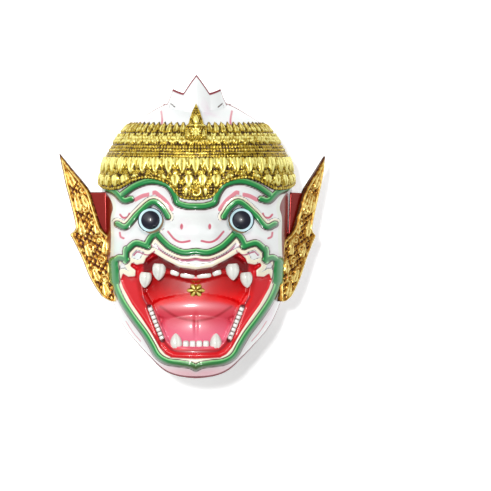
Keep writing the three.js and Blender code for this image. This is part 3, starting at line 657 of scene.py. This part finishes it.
def front_jewel():
    """The pointed plaque at the middle of the band, with a tear-shaped boss."""
    height, lean = 41.0, math.radians(22)
    half = profile([
        (0, 10.4), (8, 11.6), (15, 11.0), (17.5, 8.4), (24, 6.6), (32, 4.2), (38, 1.6), (41, 0.35)])
    v = np.linspace(0, height, 76)[:, None]
    u = np.linspace(-1, 1, 45)[None, :]
    a = u * half(v)
    v = v + 0 * u
    rim = half(v) - np.abs(a)
    lift = 1.6 * step_up(-rim, -1.5, -0.7) * step_up(rim, 0, 0.5)
    drop = np.hypot(a / (3.9 * np.clip(1 - (v - 20) / 15, 0.2, 1)), (v - 22.5) / 6.0)
    lift = np.maximum(lift, 3.0 * np.sqrt(np.clip(1 - drop ** 2, 0, 1)))
    lift = np.maximum(lift, 1.3 * np.exp(-((drop - 1.35) / 0.16) ** 2))
    lift = np.maximum(lift, 3.2 * flower(a, v - 8, 6.2, 8))
    lift = np.maximum(lift, 2.2 * leaf(np.abs(a) - 8.2, (v - 3) / 11, 2.2))
    lift = np.maximum(lift, 1.9 * np.exp(-((v - 15.8) / 0.9) ** 4))
    g, row = cell(v, 2.6)
    h, _ = cell(a, 2.6, 0.5 * (row % 2))
    lift = np.maximum(lift, 1.1 * bead(g, h, 1.4))
    relief = lift / 2.6
    lift = lift + 6.6 - 2.2 * (np.abs(u) ** 2)
    place = (0, 88, float(face_depth(0.0, 88.0)) + 1 + REST_DEPTH)

    def placed(depth):
        y = v * math.cos(lean) + depth * math.sin(lean)
        z = -v * math.sin(lean) + depth * math.cos(lean)
        return np.stack([a + place[0], y + place[1], z + place[2]], -1)

    return slab(placed(lift), placed(0 * lift + 0.2), relief)


# Ear ornaments: a flame-shaped plate, its outline by height, tip at the top

EAR_FOOT = (90, -80, 42)
EAR_INNER = [(0, 8), (20, 9.5), (45, 10), (62, 8), (70, -2), (78, -9.5), (96, -16), (116, -23),
             (128, -32), (140, -42.5), (150, -51), (157, -57)]
EAR_OUTER = [(0, 2), (3, -5), (9, -12), (26, -22.8), (45, -31), (62, -39.5), (71, -44.5), (73, -42.5),
             (76, -39.5), (81, -38.6), (98, -42.5), (123, -49.4), (140, -53.2), (157, -57.4)]
EAR_CURLS = [(-31, 118, 5.5), (-27, 98, 6.5), (-19, 84, 5.5), (-30, 74, 5.0), (-12, 66, 5.5), (-22, 56, 6.0),
             (-9, 44, 6.0), (-17, 33, 5.0), (-5, 24, 5.5)]
EAR_LEAVES = [(-40, 122, 5, 30, 24), (-34, 96, 6, 24, 12), (-24, 100, 5, 22, 28), (-30, 70, 5.5, 22, 10),
              (-14, 72, 5, 22, 4), (-34, 52, 5, 24, 32), (-22, 48, 5, 20, 20), (-6, 50, 5, 20, -4),
              (-24, 34, 4.5, 20, 30), (-12, 22, 5, 20, 24), (-3, 6, 6, 20, 12), (0, 30, 5, 20, -6)]


def curl(a, b, radius):
    """A spiral scroll."""
    r = np.hypot(a, b) / radius
    angle = np.arctan2(b, a)
    groove = np.cos(2 * math.pi * (r * 1.6 - angle / (2 * math.pi)))
    return step_up(1 - r, 0, 0.18) * (0.55 + 0.45 * groove)


def ear_plate(side, turn, lean):
    """Carved ear ornament on the viewer's left (-1) or right (1)."""
    inner_edge, outer_edge = smooth(EAR_INNER, 1.0), smooth(EAR_OUTER, 1.0)
    v = np.linspace(0.4, 156.6, 210)
    right = np.interp(v, inner_edge[:, 0], inner_edge[:, 1])
    left = np.interp(v, outer_edge[:, 0], outer_edge[:, 1])
    u = np.linspace(0, 1, 62)
    a = left[:, None] + (right - left)[:, None] * u
    v = v[:, None] + 0 * a
    to_left, to_right = a - left[:, None], right[:, None] - a
    rim = np.minimum(to_left, to_right)
    roll = 2.8 * np.exp(-((rim - 2.6) / 1.5) ** 2)
    field = step_up(rim, 3.4, 5.0)
    lift = 0 * a
    for x, y, half, height, tilt in EAR_LEAVES:
        c, n = math.cos(math.radians(tilt)), math.sin(math.radians(tilt))
        across, along = (a - x) * c + (v - y) * n, -(a - x) * n + (v - y) * c
        lift = np.maximum(lift, 2.6 * leaf(across, along / height, half))
    for x, y, radius in EAR_CURLS:
        lift = np.maximum(lift, 2.7 * curl(a - x, v - y, radius))
    g, row = cell(v + 0.55 * a, 5.6)
    h, _ = cell(a, 4.6, 0.5 * (row % 2))
    lift = np.maximum(lift, 1.9 * leaf(h, (g + 2.8) / 5.6, 2.3))
    lift = np.maximum(lift * field, roll)
    relief = lift / 3
    front = 4.2 + lift
    taper = step_up(to_left + to_right, 0.5, 9)
    front = 2.6 + (front - 2.6) * taper
    angle = math.radians(turn)
    tilt = math.radians(lean)

    def placed(depth):
        """Points of the plate at a depth over its back, for the grid in a and v."""
        x = a if side < 0 else -a
        c, n = math.cos(angle), math.sin(side * angle)
        x, z = x * c + depth * n, depth * c - x * n
        c, n = math.cos(-side * tilt), math.sin(-side * tilt)
        x, y = x * c - v * n, x * n + v * c
        return np.stack([x + side * EAR_FOOT[0], y + EAR_FOOT[1], z + REST_DEPTH + EAR_FOOT[2]], -1)

    plate = slab(placed(front), placed(0 * a + 0.3), relief)
    v = np.linspace(66, 116, 26)
    right = np.interp(v, inner_edge[:, 0], inner_edge[:, 1]) - 2
    a = right[:, None] + (-5 - right[:, None]) * np.linspace(0, 1, 12)
    v = v[:, None] + 0 * a
    flap = slab(placed(0 * a + 2.2), placed(0 * a + 0.3), 0 * a - 4)
    points, faces, shade = merge(plate, flap)
    if side > 0:
        faces = [tuple(reversed(f)) for f in faces]
    return points, faces, shade


# Eyes, teeth and the palate's flower

def polar(radii, heights, count=64):
    """Points round the Z axis on rings, with a pole at the first radius's centre."""
    angle = np.arange(count) * 2 * math.pi / count
    points = [(0, 0, heights[0])]
    for r, h in zip(radii[1:], heights[1:]):
        points += [(r * math.cos(t), r * math.sin(t), h) for t in angle]
    first = np.arange(1, count + 1)
    rows = len(radii) - 1
    faces = fan(0, first)
    faces += [tuple(q) for q in grid_faces(rows, count, closed=True, flip=True, start=1)]
    faces.append(tuple(first + (rows - 1) * count)[::-1])
    return np.array(points, float), faces


def eye_mesh(side):
    radii = np.concatenate([np.linspace(0, EYE_RADIUS, 28), [EYE_RADIUS]])
    heights = EYE_RISE - EYE_DOME + np.sqrt(EYE_DOME ** 2 - radii ** 2)
    heights[-1] = -3.0
    points, faces = polar(radii, heights)
    radial = np.hypot(points[:, 0], points[:, 1])
    centre = (side * EYE[0], EYE[1], float(face_depth(np.array(EYE[0]), np.array(EYE[1]))) + REST_DEPTH)
    return points + centre, faces, radial


def tooth_mesh(root, width, length, tilt, sink):
    """A rounded, pointed tooth, from its root towards its tip."""
    across = profile([
        (0, 0.4), (0.15, 0.49), (0.38, 0.51), (0.62, 0.43), (0.82, 0.28), (0.95, 0.12), (1, 0)])
    t = np.concatenate([[0], np.linspace(0, 0.9, 20), [0.94, 0.97, 0.99, 1.0]])
    r = across(t) * width
    r[0] = r[-1] = 0
    steps = 40
    angle = np.arange(steps) * 2 * math.pi / steps
    groove = 1 - 0.13 * np.exp(-((angle - 1.25) / 0.22) ** 2)
    points = [(0, 0, 0)]
    for k in range(1, len(t) - 1):
        reach = r[k] * groove
        points += list(zip(reach * np.cos(angle), np.full(steps, t[k] * length), reach * np.sin(angle)))
    points.append((0, length, 0))
    rows = len(t) - 2
    first = np.arange(1, steps + 1)
    faces = fan(0, first[::-1]) + fan(len(points) - 1, first + steps * (rows - 1))
    faces += [tuple(q) for q in grid_faces(rows, steps, closed=True, start=1)]
    if length > 0:
        faces = [tuple(reversed(f)) for f in faces]
    p = np.array(points, float)
    c, n = math.cos(math.radians(tilt)), math.sin(math.radians(tilt))
    x, y = p[:, 0] * c - p[:, 1] * n, p[:, 0] * n + p[:, 1] * c
    depth = float(face_depth(np.array(abs(root[0])), np.array(root[1]))) - sink + REST_DEPTH
    points = np.stack([x + root[0], y + root[1], p[:, 2] + depth], -1)
    return points, faces, np.ones(len(points))


def block_tooth(centre, wide, tall, deep, depth, tilt=0.0):
    """A front tooth: a soft-cornered block whose face bulges a little."""
    u = np.linspace(-1, 1, 13)[None, :]
    v = np.linspace(-1, 1, 13)[:, None]
    square = (np.abs(u) ** 4 + np.abs(v) ** 4) ** 0.25
    round_off = np.maximum(square, 1e-6)
    reach = np.maximum(np.abs(u), np.abs(v))
    x = u * reach / round_off * wide / 2
    y = v * reach / round_off * tall / 2
    bulge = deep / 2 * (0.1 + 0.9 * np.clip(1 - reach ** 4, 0, 1) ** 0.5)
    c, n = math.cos(math.radians(tilt)), math.sin(math.radians(tilt))

    def placed(lift):
        return np.stack([x * c - y * n + centre[0], x * n + y * c + centre[1], lift + depth], -1)

    return slab(placed(bulge), placed(-bulge), np.ones((13, 13)))


def upper_row():
    """Four low front teeth along the curve of the upper gum."""
    teeth = []
    depth = float(face_depth(np.array(0.0), np.array(-55.5))) - 10 + REST_DEPTH
    for left, right in ((-26.6, -17.0), (-16.2, -0.5), (0.5, 16.2), (17.0, 26.6)):
        middle = (left + right) / 2
        edge = -55.3 + 5 * (middle / 27) ** 2
        tilt = math.degrees(math.atan(2 * 5 * middle / 27 ** 2))
        teeth.append(block_tooth((middle, edge + 3.6), right - left, 7.0, 4.6, depth, tilt))
    return merge(*teeth)


def lower_row():
    teeth = []
    depth = float(face_depth(np.array(0.0), np.array(-119.0))) - 13 + REST_DEPTH
    for i in range(4):
        middle = -10.5 + 7 * i
        teeth.append(block_tooth((middle, -123.8), 6.3, 8.2, 4.6, depth))
    return merge(*teeth)


def side_row(side):
    """Small cheek teeth in a row along the lower gum."""
    path = smooth([(x * side, y) for x, y in CHEEK_TEETH], 0.5)
    steps = np.linalg.norm(np.diff(path, axis=0), axis=1)
    along = np.concatenate([[0], np.cumsum(steps)])
    teeth = []
    count = 8
    for i in range(count):
        place = along[-1] * (i + 0.5) / count
        x, y = np.interp(place, along, path[:, 0]), np.interp(place, along, path[:, 1])
        tilt = math.degrees(math.atan2(path[-1, 1] - path[0, 1], path[-1, 0] - path[0, 0])) - 90
        depth = float(face_depth(np.array(abs(x)), np.array(y))) - 9 + REST_DEPTH
        teeth.append(block_tooth((x, y), 5.0, along[-1] / count * 0.93, 4.8, depth, tilt))
    return merge(*teeth)


def palate_flower_mesh():
    u = np.linspace(0.04, 1, 24)[:, None]
    angle = np.linspace(0, 2 * math.pi, 97)[:-1][None, :]
    lobe = 0.7 + 0.3 * np.abs(np.cos(angle * 3))
    radius = u * lobe * 9.9
    x, y = radius * np.cos(angle), radius * np.sin(angle)
    lift = 4.6 * np.sqrt(np.clip(1 - u ** 3, 0, 1)) * (0.8 + 0.2 * np.abs(np.cos(angle * 3)))
    lift = np.maximum(lift, 7.6 * bead(x, y, 3.4)) + 0.35
    top = np.stack([x, y * 0.8 + FLOWER_HEIGHT, lift + FLOWER_DEPTH + REST_DEPTH], -1)
    low = top.copy()
    low[..., 2] = FLOWER_DEPTH + 0.3 + REST_DEPTH
    rows, columns = x.shape
    count = rows * columns
    faces = [tuple(q) for q in grid_faces(rows, columns, closed=True, flip=True)]
    faces += [tuple(q) for q in grid_faces(rows, columns, closed=True, start=count)]
    first = np.arange(columns)
    faces += skirt(first + count - columns, count)
    faces += fan(2 * count, first) + fan(2 * count + 1, first[::-1] + count)
    poles = [(0, FLOWER_HEIGHT, top[0, 0, 2]), (0, FLOWER_HEIGHT, low[0, 0, 2])]
    points = np.vstack([top.reshape(-1, 3), low.reshape(-1, 3), poles])
    groove = np.abs(np.cos(angle * 3)) * (1 - u * 0.3)
    return points, faces, np.concatenate([groove.ravel(), np.zeros(count), [1, 0]])


# Paint colours, red, green and blue out of 255

LACQUER_WHITE = (228, 231, 230)
ROSE_TINT = (226, 206, 218)
MINT_TINT = (208, 226, 220)
CURL_PINK = (206, 120, 134)
CHIN_PINK = (226, 168, 178)
EDGE_RED = (120, 22, 14)
EDGE_PALE = (222, 228, 216)
OUTLINE_AND_EDGE_SHADE_RED = (128, 44, 54)
RIDGE_SHADE = (204, 192, 194)
MARK_PINK = (200, 96, 114)
BAND_PINK = (218, 134, 146)
CREAM = (236, 229, 204)
MAUVE = (176, 96, 122)
# Dark lines beside the ridges: ink outlines and painted shadow.
INK_AND_RIDGE_SHADOW = (78, 60, 52)
GREEN_LOWER_SHADE = (10, 60, 34)
LEAF_GREEN = (30, 130, 66)
GREEN_UPPER_HIGHLIGHT = (132, 208, 132)
OLIVE = (66, 84, 44)
DEEP_RED = (188, 2, 14)
BRIGHT_RED = (226, 14, 20)
PALATE_SHADE_RED = (136, 8, 12)
LIP_RED = (206, 36, 44)
TONGUE_PINK = (228, 112, 138)
TONGUE_RED = (198, 56, 72)
FOLD_SHADE_RED = (160, 22, 40)
GUM_SHADOW = (112, 6, 16)
GUM_RED = (150, 24, 38)
TOOTH_SHADOW = (88, 10, 20)
PAPER_BROWN = (120, 96, 70)
FLAP_RED = (128, 20, 10)
PUPIL = (18, 20, 36)
EYE_BLUE = (204, 236, 244)
EYE_RIM = (16, 34, 48)
PEARL = (224, 226, 218)
PEARL_GREY = (200, 200, 194)
# Each gilding: a pale painted highlight for the raised carving, a middle gold, and a deep colour for the
# hollows, partly patina and partly painted shade.
BRIGHT_GILDING = ((250, 240, 140), (184, 154, 44), (66, 46, 4))
DARK_GILDING = ((250, 224, 132), (190, 132, 40), (78, 36, 6))


# Materials

def nodes_of(name):
    material = bpy.data.materials.new(name)
    material.use_nodes = True
    tree = material.node_tree
    return material, tree, tree.nodes["Principled BSDF"]


def linear(rgb):
    return tuple((c / 255) ** 2.2 for c in rgb) + (1.0,)


class Paint:
    """Layers of colour over a ground, each masked by a distance stored on the mesh."""

    def __init__(self, tree, ground):
        self.tree = tree
        self.colour = ground

    def node(self, kind, **values):
        node = self.tree.nodes.new(kind)
        for key, value in values.items():
            setattr(node, key, value)
        return node

    def link(self, a, b):
        self.tree.links.new(a, b)

    def attribute(self, name):
        return self.node("ShaderNodeAttribute", attribute_name=name).outputs["Fac"]

    def ramp(self, source, low, high):
        node = self.node("ShaderNodeMapRange", interpolation_type="SMOOTHSTEP")
        self.link(source, node.inputs["Value"])
        node.inputs["From Min"].default_value = low
        node.inputs["From Max"].default_value = high
        return node.outputs["Result"]

    def math(self, operation, a, b=0.0):
        node = self.node("ShaderNodeMath", operation=operation)
        for socket, value in zip(node.inputs, (a, b)):
            if isinstance(value, (int, float)):
                socket.default_value = value
            else:
                self.link(value, socket)
        return node.outputs[0]

    def noise(self, scale, detail=3.0, roughness=0.55):
        place = self.node("ShaderNodeTexCoord").outputs["Object"]
        node = self.node("ShaderNodeTexNoise")
        self.link(place, node.inputs["Vector"])
        node.inputs["Scale"].default_value = scale
        node.inputs["Detail"].default_value = detail
        node.inputs["Roughness"].default_value = roughness
        return node.outputs["Fac"]

    def mix(self, mask, under, over):
        node = self.node("ShaderNodeMix", data_type="RGBA")
        self.link(mask, node.inputs["Factor"])
        for socket, value in ((node.inputs[6], under), (node.inputs[7], over)):
            if isinstance(value, tuple):
                socket.default_value = value
            else:
                self.link(value, socket)
        return node.outputs[2]

    def within(self, name, edge=0.0, blur=0.35):
        """Mask that is 1 where the stored distance is under the edge."""
        return self.ramp(self.math("MULTIPLY", self.attribute(name), -1.0), -edge - blur, -edge + blur)

    def over(self, mask, colour):
        self.colour = self.mix(mask, self.colour, colour)


def painted_curls(paint, place):
    """Mask of spiral curls painted in rows round the back of the head."""
    pitch, turn_pitch = 0.042, 0.0075
    behind = paint.math("SUBTRACT", REST_DEPTH * MM, place.outputs["Z"])
    along = paint.math("MULTIPLY", paint.math("ARCTAN2", place.outputs["X"], behind), 0.1 / pitch)
    up = paint.math("DIVIDE", place.outputs["Y"], pitch)
    a = paint.math("FRACT", paint.math("ADD", along, 20.5))
    a = paint.math("MULTIPLY", paint.math("SUBTRACT", a, 0.5), pitch)
    b = paint.math("FRACT", paint.math("ADD", up, 20.0))
    b = paint.math("MULTIPLY", paint.math("SUBTRACT", b, 0.5), pitch)
    squares = paint.math("ADD", paint.math("MULTIPLY", a, a), paint.math("MULTIPLY", b, b))
    reach = paint.math("SQRT", squares)
    winding = paint.math("DIVIDE", paint.math("ARCTAN2", b, a), 2 * math.pi)
    spiral = paint.math("SUBTRACT", paint.math("DIVIDE", reach, turn_pitch), winding)
    spiral = paint.math("FRACT", paint.math("ADD", spiral, 3.0))
    line = paint.ramp(paint.math("ABSOLUTE", paint.math("SUBTRACT", spiral, 0.5)), 0.16, 0.1)
    disc = paint.ramp(reach, 0.0185, 0.0175)
    below_band = paint.ramp(place.outputs["Y"], 0.1, 0.098)
    back = paint.math("MULTIPLY", paint.ramp(behind, 0.002, 0.006), below_band)
    return paint.math("MULTIPLY", paint.math("MULTIPLY", line, disc), back)


def lacquer_material():
    material, tree, shader = nodes_of("painted_lacquer")
    paint = Paint(tree, linear(LACQUER_WHITE))
    paint.over(paint.ramp(paint.noise(26, 4), 0.5, 0.8), linear(ROSE_TINT))
    paint.over(paint.ramp(paint.noise(19, 2), 0.55, 0.8), linear(MINT_TINT))
    place = paint.node("ShaderNodeSeparateXYZ")
    paint.link(paint.node("ShaderNodeTexCoord").outputs["Object"], place.inputs[0])
    paint.over(painted_curls(paint, place), linear(CURL_PINK))
    height = place.outputs["Y"]
    paint.over(paint.ramp(height, -0.138, -0.158), linear(CHIN_PINK))
    edge = paint.attribute("edge")
    paint.over(paint.ramp(edge, -0.3, 0.3), linear(EDGE_RED))
    paint.over(paint.ramp(paint.math("ABSOLUTE", edge), 2.2, 1.5), linear(EDGE_PALE))
    # Dark band round the crown's and jaw's edges, with the crest's painted lines: painted outline and
    # painted shade at the edges.
    outline = paint.ramp(paint.attribute("rim"), 1.0, -3.0)
    paint.over(outline, linear(OUTLINE_AND_EDGE_SHADE_RED))
    shade = paint.math("MULTIPLY", paint.ramp(paint.attribute("green"), 6.0, 0.0), 0.55)
    paint.over(shade, linear(RIDGE_SHADE))
    paint.over(paint.within("pink_mark", 0.0, 0.5), linear(MARK_PINK))
    paint.over(paint.within("pink_band"), linear(BAND_PINK))
    paint.over(paint.within("cream"), linear(CREAM))
    paint.over(paint.within("mauve"), linear(MAUVE))
    # Dark lines beside the ridges, ink outlines and painted shadow; on the crest, painted arch marks.
    paint.over(paint.within("ink_and_ridge_shadow", 0.0, 0.35), linear(INK_AND_RIDGE_SHADOW))
    # Green ridges: darker along the lower side as painted shade, paler along the upper side as a painted
    # highlight.
    side = paint.attribute("green_side")
    green = paint.mix(paint.ramp(side, -2.9, -0.6), linear(GREEN_LOWER_SHADE), linear(LEAF_GREEN))
    green = paint.mix(paint.ramp(side, 1.2, 2.4), green, linear(GREEN_UPPER_HIGHLIGHT))
    paint.over(paint.within("green"), green)
    paint.over(paint.math("MULTIPLY", paint.ramp(height, -0.138, -0.15), paint.within("green")),
               linear(OLIVE))
    red = paint.mix(paint.ramp(paint.noise(35), 0.3, 0.7), linear(DEEP_RED), linear(BRIGHT_RED))
    # Darker red towards the top of the mouth, under the upper lip: the palate's red and painted shade.
    red = paint.mix(paint.math("MULTIPLY", paint.ramp(height, -0.078, -0.06), 0.5), red, linear(PALATE_SHADE_RED))
    lip = paint.mix(paint.ramp(paint.attribute("throat"), 3.0, 7.0), red, linear(LIP_RED))
    flesh = paint.mix(paint.ramp(height, -0.124, -0.09), linear(TONGUE_PINK), linear(TONGUE_RED))
    mouth = paint.mix(paint.ramp(paint.attribute("tongue"), 2.5, -3.0), lip, flesh)
    # A dark line along the tongue's fold: painted shade in the crease.
    mouth = paint.mix(paint.within("fold", 1.2, 1.3), mouth, linear(FOLD_SHADE_RED))
    mouth = paint.mix(paint.within("gum_shadow", 0.0, 1.8), mouth, linear(GUM_SHADOW))
    mouth = paint.mix(paint.within("lower_gum", 1.2, 1.2), mouth, linear(GUM_RED))
    mouth = paint.mix(paint.within("tooth_line", 3.0, 0.8), mouth, linear(TOOTH_SHADOW))
    within_mouth = paint.within("mouth", 0.0, 0.4)
    paint.over(within_mouth, mouth)
    paint.colour = paint.mix(paint.attribute("inner_side"), paint.colour, linear(PAPER_BROWN))
    tree.links.new(paint.colour, shader.inputs["Base Color"])
    matt = paint.math("MAXIMUM", outline, paint.math("MULTIPLY", within_mouth, 0.2))
    matt = paint.math("MAXIMUM", matt, paint.attribute("inner_side"))
    roughness = paint.math("ADD", paint.math("MULTIPLY", matt, 0.45), 0.28)
    tree.links.new(roughness, shader.inputs["Roughness"])
    coat = paint.math("MULTIPLY", paint.math("SUBTRACT", 1.0, matt), 0.3)
    tree.links.new(coat, shader.inputs["Coat Weight"])
    shader.inputs["Coat Roughness"].default_value = 0.12
    return material


def gold_material(name, bright, middle, deep):
    """Gold leaf over carving: the relief attribute darkens the recesses, partly as patina and partly as
    painted shade, and gives the raised carving a pale painted highlight.
    """
    material, tree, shader = nodes_of(name)
    paint = Paint(tree, linear(deep))
    relief = paint.attribute("relief")
    # Random mottling that moves where the painted highlight and the darker hollows fall, standing in for the
    # leaf's glitter.
    glint_mottle = paint.noise(230, 3)
    height = paint.math("ADD", relief, paint.math("MULTIPLY", paint.math("SUBTRACT", glint_mottle, 0.5), 1.5))
    paint.over(paint.ramp(height, 0.08, 0.45), linear(middle))
    paint.over(paint.ramp(height, 0.5, 0.9), linear(bright))
    paint.over(paint.ramp(relief, -1.0, -2.0), linear(FLAP_RED))
    tree.links.new(paint.colour, shader.inputs["Base Color"])
    shader.inputs["Metallic"].default_value = 0.5
    shader.inputs["Roughness"].default_value = 0.24
    return material


def eye_material():
    material, tree, shader = nodes_of("eye_glaze")
    paint = Paint(tree, linear(PUPIL))
    radial = paint.attribute("relief")
    paint.over(paint.ramp(radial, 9.5, 10.1), linear(EYE_BLUE))
    paint.over(paint.ramp(radial, 11.9, 12.5), linear(EYE_RIM))
    tree.links.new(paint.colour, shader.inputs["Base Color"])
    shader.inputs["Roughness"].default_value = 0.34
    shader.inputs["Coat Weight"].default_value = 0.1
    shader.inputs["Coat Roughness"].default_value = 0.05
    return material


def pearl_material():
    material, tree, shader = nodes_of("pearl_teeth")
    paint = Paint(tree, linear(PEARL))
    paint.over(paint.ramp(paint.noise(90, 3), 0.45, 0.75), linear(PEARL_GREY))
    tree.links.new(paint.colour, shader.inputs["Base Color"])
    shader.inputs["Roughness"].default_value = 0.18
    shader.inputs["Coat Weight"].default_value = 0.4
    shader.inputs["Coat Roughness"].default_value = 0.06
    return material


def piece(name, mesh, material, slot, *nodes):
    points, faces, relief = mesh
    return finish_piece(add_mesh(name, points, faces, {"relief": relief}), material, slot, *nodes)


def ornaments():
    gold = gold_material("bright_gilding", *BRIGHT_GILDING)
    dark_gold = gold_material("dark_gilding", *DARK_GILDING)
    piece("carved_diadem", merge(diadem_band(), front_jewel()), gold, "gilding", "diadem")
    piece("carved_ear_left", ear_plate(-1, 16, 0), dark_gold, "dark_gilding", "ear_ornament_left")
    piece("carved_ear_right", ear_plate(1, 48, 2.5), dark_gold, "dark_gilding", "ear_ornament_right")
    piece("palate_flower", palate_flower_mesh(), gold, "gilding", "palate_ornament")


# Each fang: its name, its node, root on the face, width, length (down is negative), tilt and sink
FANGS = [("inner_fang_", "upper_fang_inner_", (37.8, -39.5), 14, -17.5, 4, 10),
         ("outer_fang_", "upper_fang_outer_", (52, -48.5), 12.8, -16.5, 6, 9),
         ("low_fang_", "lower_fang_", (20.6, -127.8), 12.6, 15.8, -2, 13)]


def eyes_and_teeth():
    glaze, pearl = eye_material(), pearl_material()
    for name, side in (("left", -1), ("right", 1)):
        piece("glazed_eye_" + name, eye_mesh(side), glaze, "eye_glaze", "eye_" + name)
        for start, node, (across, height), width, length, tilt, sink in FANGS:
            mesh = tooth_mesh((side * across, height), width, length, side * tilt, sink)
            piece(start + name, mesh, pearl, "pearl", node + name)
        piece("cheek_teeth_" + name, side_row(side), pearl, "pearl", "lower_side_teeth_" + name)
    piece("upper_front_teeth", upper_row(), pearl, "pearl", "upper_teeth")
    piece("lower_front_teeth", lower_row(), pearl, "pearl", "lower_incisors")


def head():
    points, faces, data = head_mesh()
    obj = add_mesh("painted_head", points, faces, data)
    return finish_piece(obj, lacquer_material(), "white_lacquer", "head_shell")


# Camera, light and floor

def camera():
    centre_x = (PHOTO_WIDTH / 2 - MASK_CENTRE_PIXEL[0]) * MM_PER_PIXEL * MM
    centre_y = (MASK_CENTRE_PIXEL[1] - PHOTO_WIDTH / 2) * MM_PER_PIXEL * MM
    distance = 4.0
    face_plane = (REST_DEPTH + 60) * MM
    data = bpy.data.cameras.new("camera")
    data.sensor_width = 36
    data.lens = 36 * distance / (PHOTO_WIDTH * MM_PER_PIXEL * MM)
    data.clip_end = 20
    obj = bpy.data.objects.new("camera", data)
    bpy.context.scene.collection.objects.link(obj)
    obj.location = (centre_x, centre_y, face_plane + distance)
    bpy.context.scene.camera = obj


def lamp(name, place, aim, size, power):
    data = bpy.data.lights.new(name, "AREA")
    data.size = size
    data.energy = power
    obj = bpy.data.objects.new(name, data)
    bpy.context.scene.collection.objects.link(obj)
    obj.location = place
    obj.rotation_euler = (Vector(aim) - Vector(place)).to_track_quat("-Z", "Y").to_euler()


def studio():
    world = bpy.data.worlds.new("studio")
    bpy.context.scene.world = world
    world.use_nodes = True
    world.node_tree.nodes["Background"].inputs["Color"].default_value = (1, 1, 1, 1)
    world.node_tree.nodes["Background"].inputs["Strength"].default_value = 0.36
    lamp("overhead", (-0.22, 0.25, 4.0), (0, 0, 0.12), 0.2, 100)
    lamp("side", (-0.9, 0.8, 1.7), (0, 0, 0.12), 1.7, 14)
    floor = add_mesh("floor", [(-4000, -4000, 0), (4000, -4000, 0), (4000, 4000, 0), (-4000, 4000, 0)],
                     [(0, 1, 2, 3)], shade=False)
    material, tree, shader = nodes_of("floor_paper")
    shader.inputs["Base Color"].default_value = (0.92, 0.92, 0.92, 1)
    shader.inputs["Roughness"].default_value = 0.8
    shader.inputs["Emission Color"].default_value = (1, 1, 1, 1)
    shader.inputs["Emission Strength"].default_value = 0.42
    floor.data.materials.append(material)
    bpy.context.scene.view_settings.view_transform = "Standard"


camera()
studio()
head()
ornaments()
eyes_and_teeth()
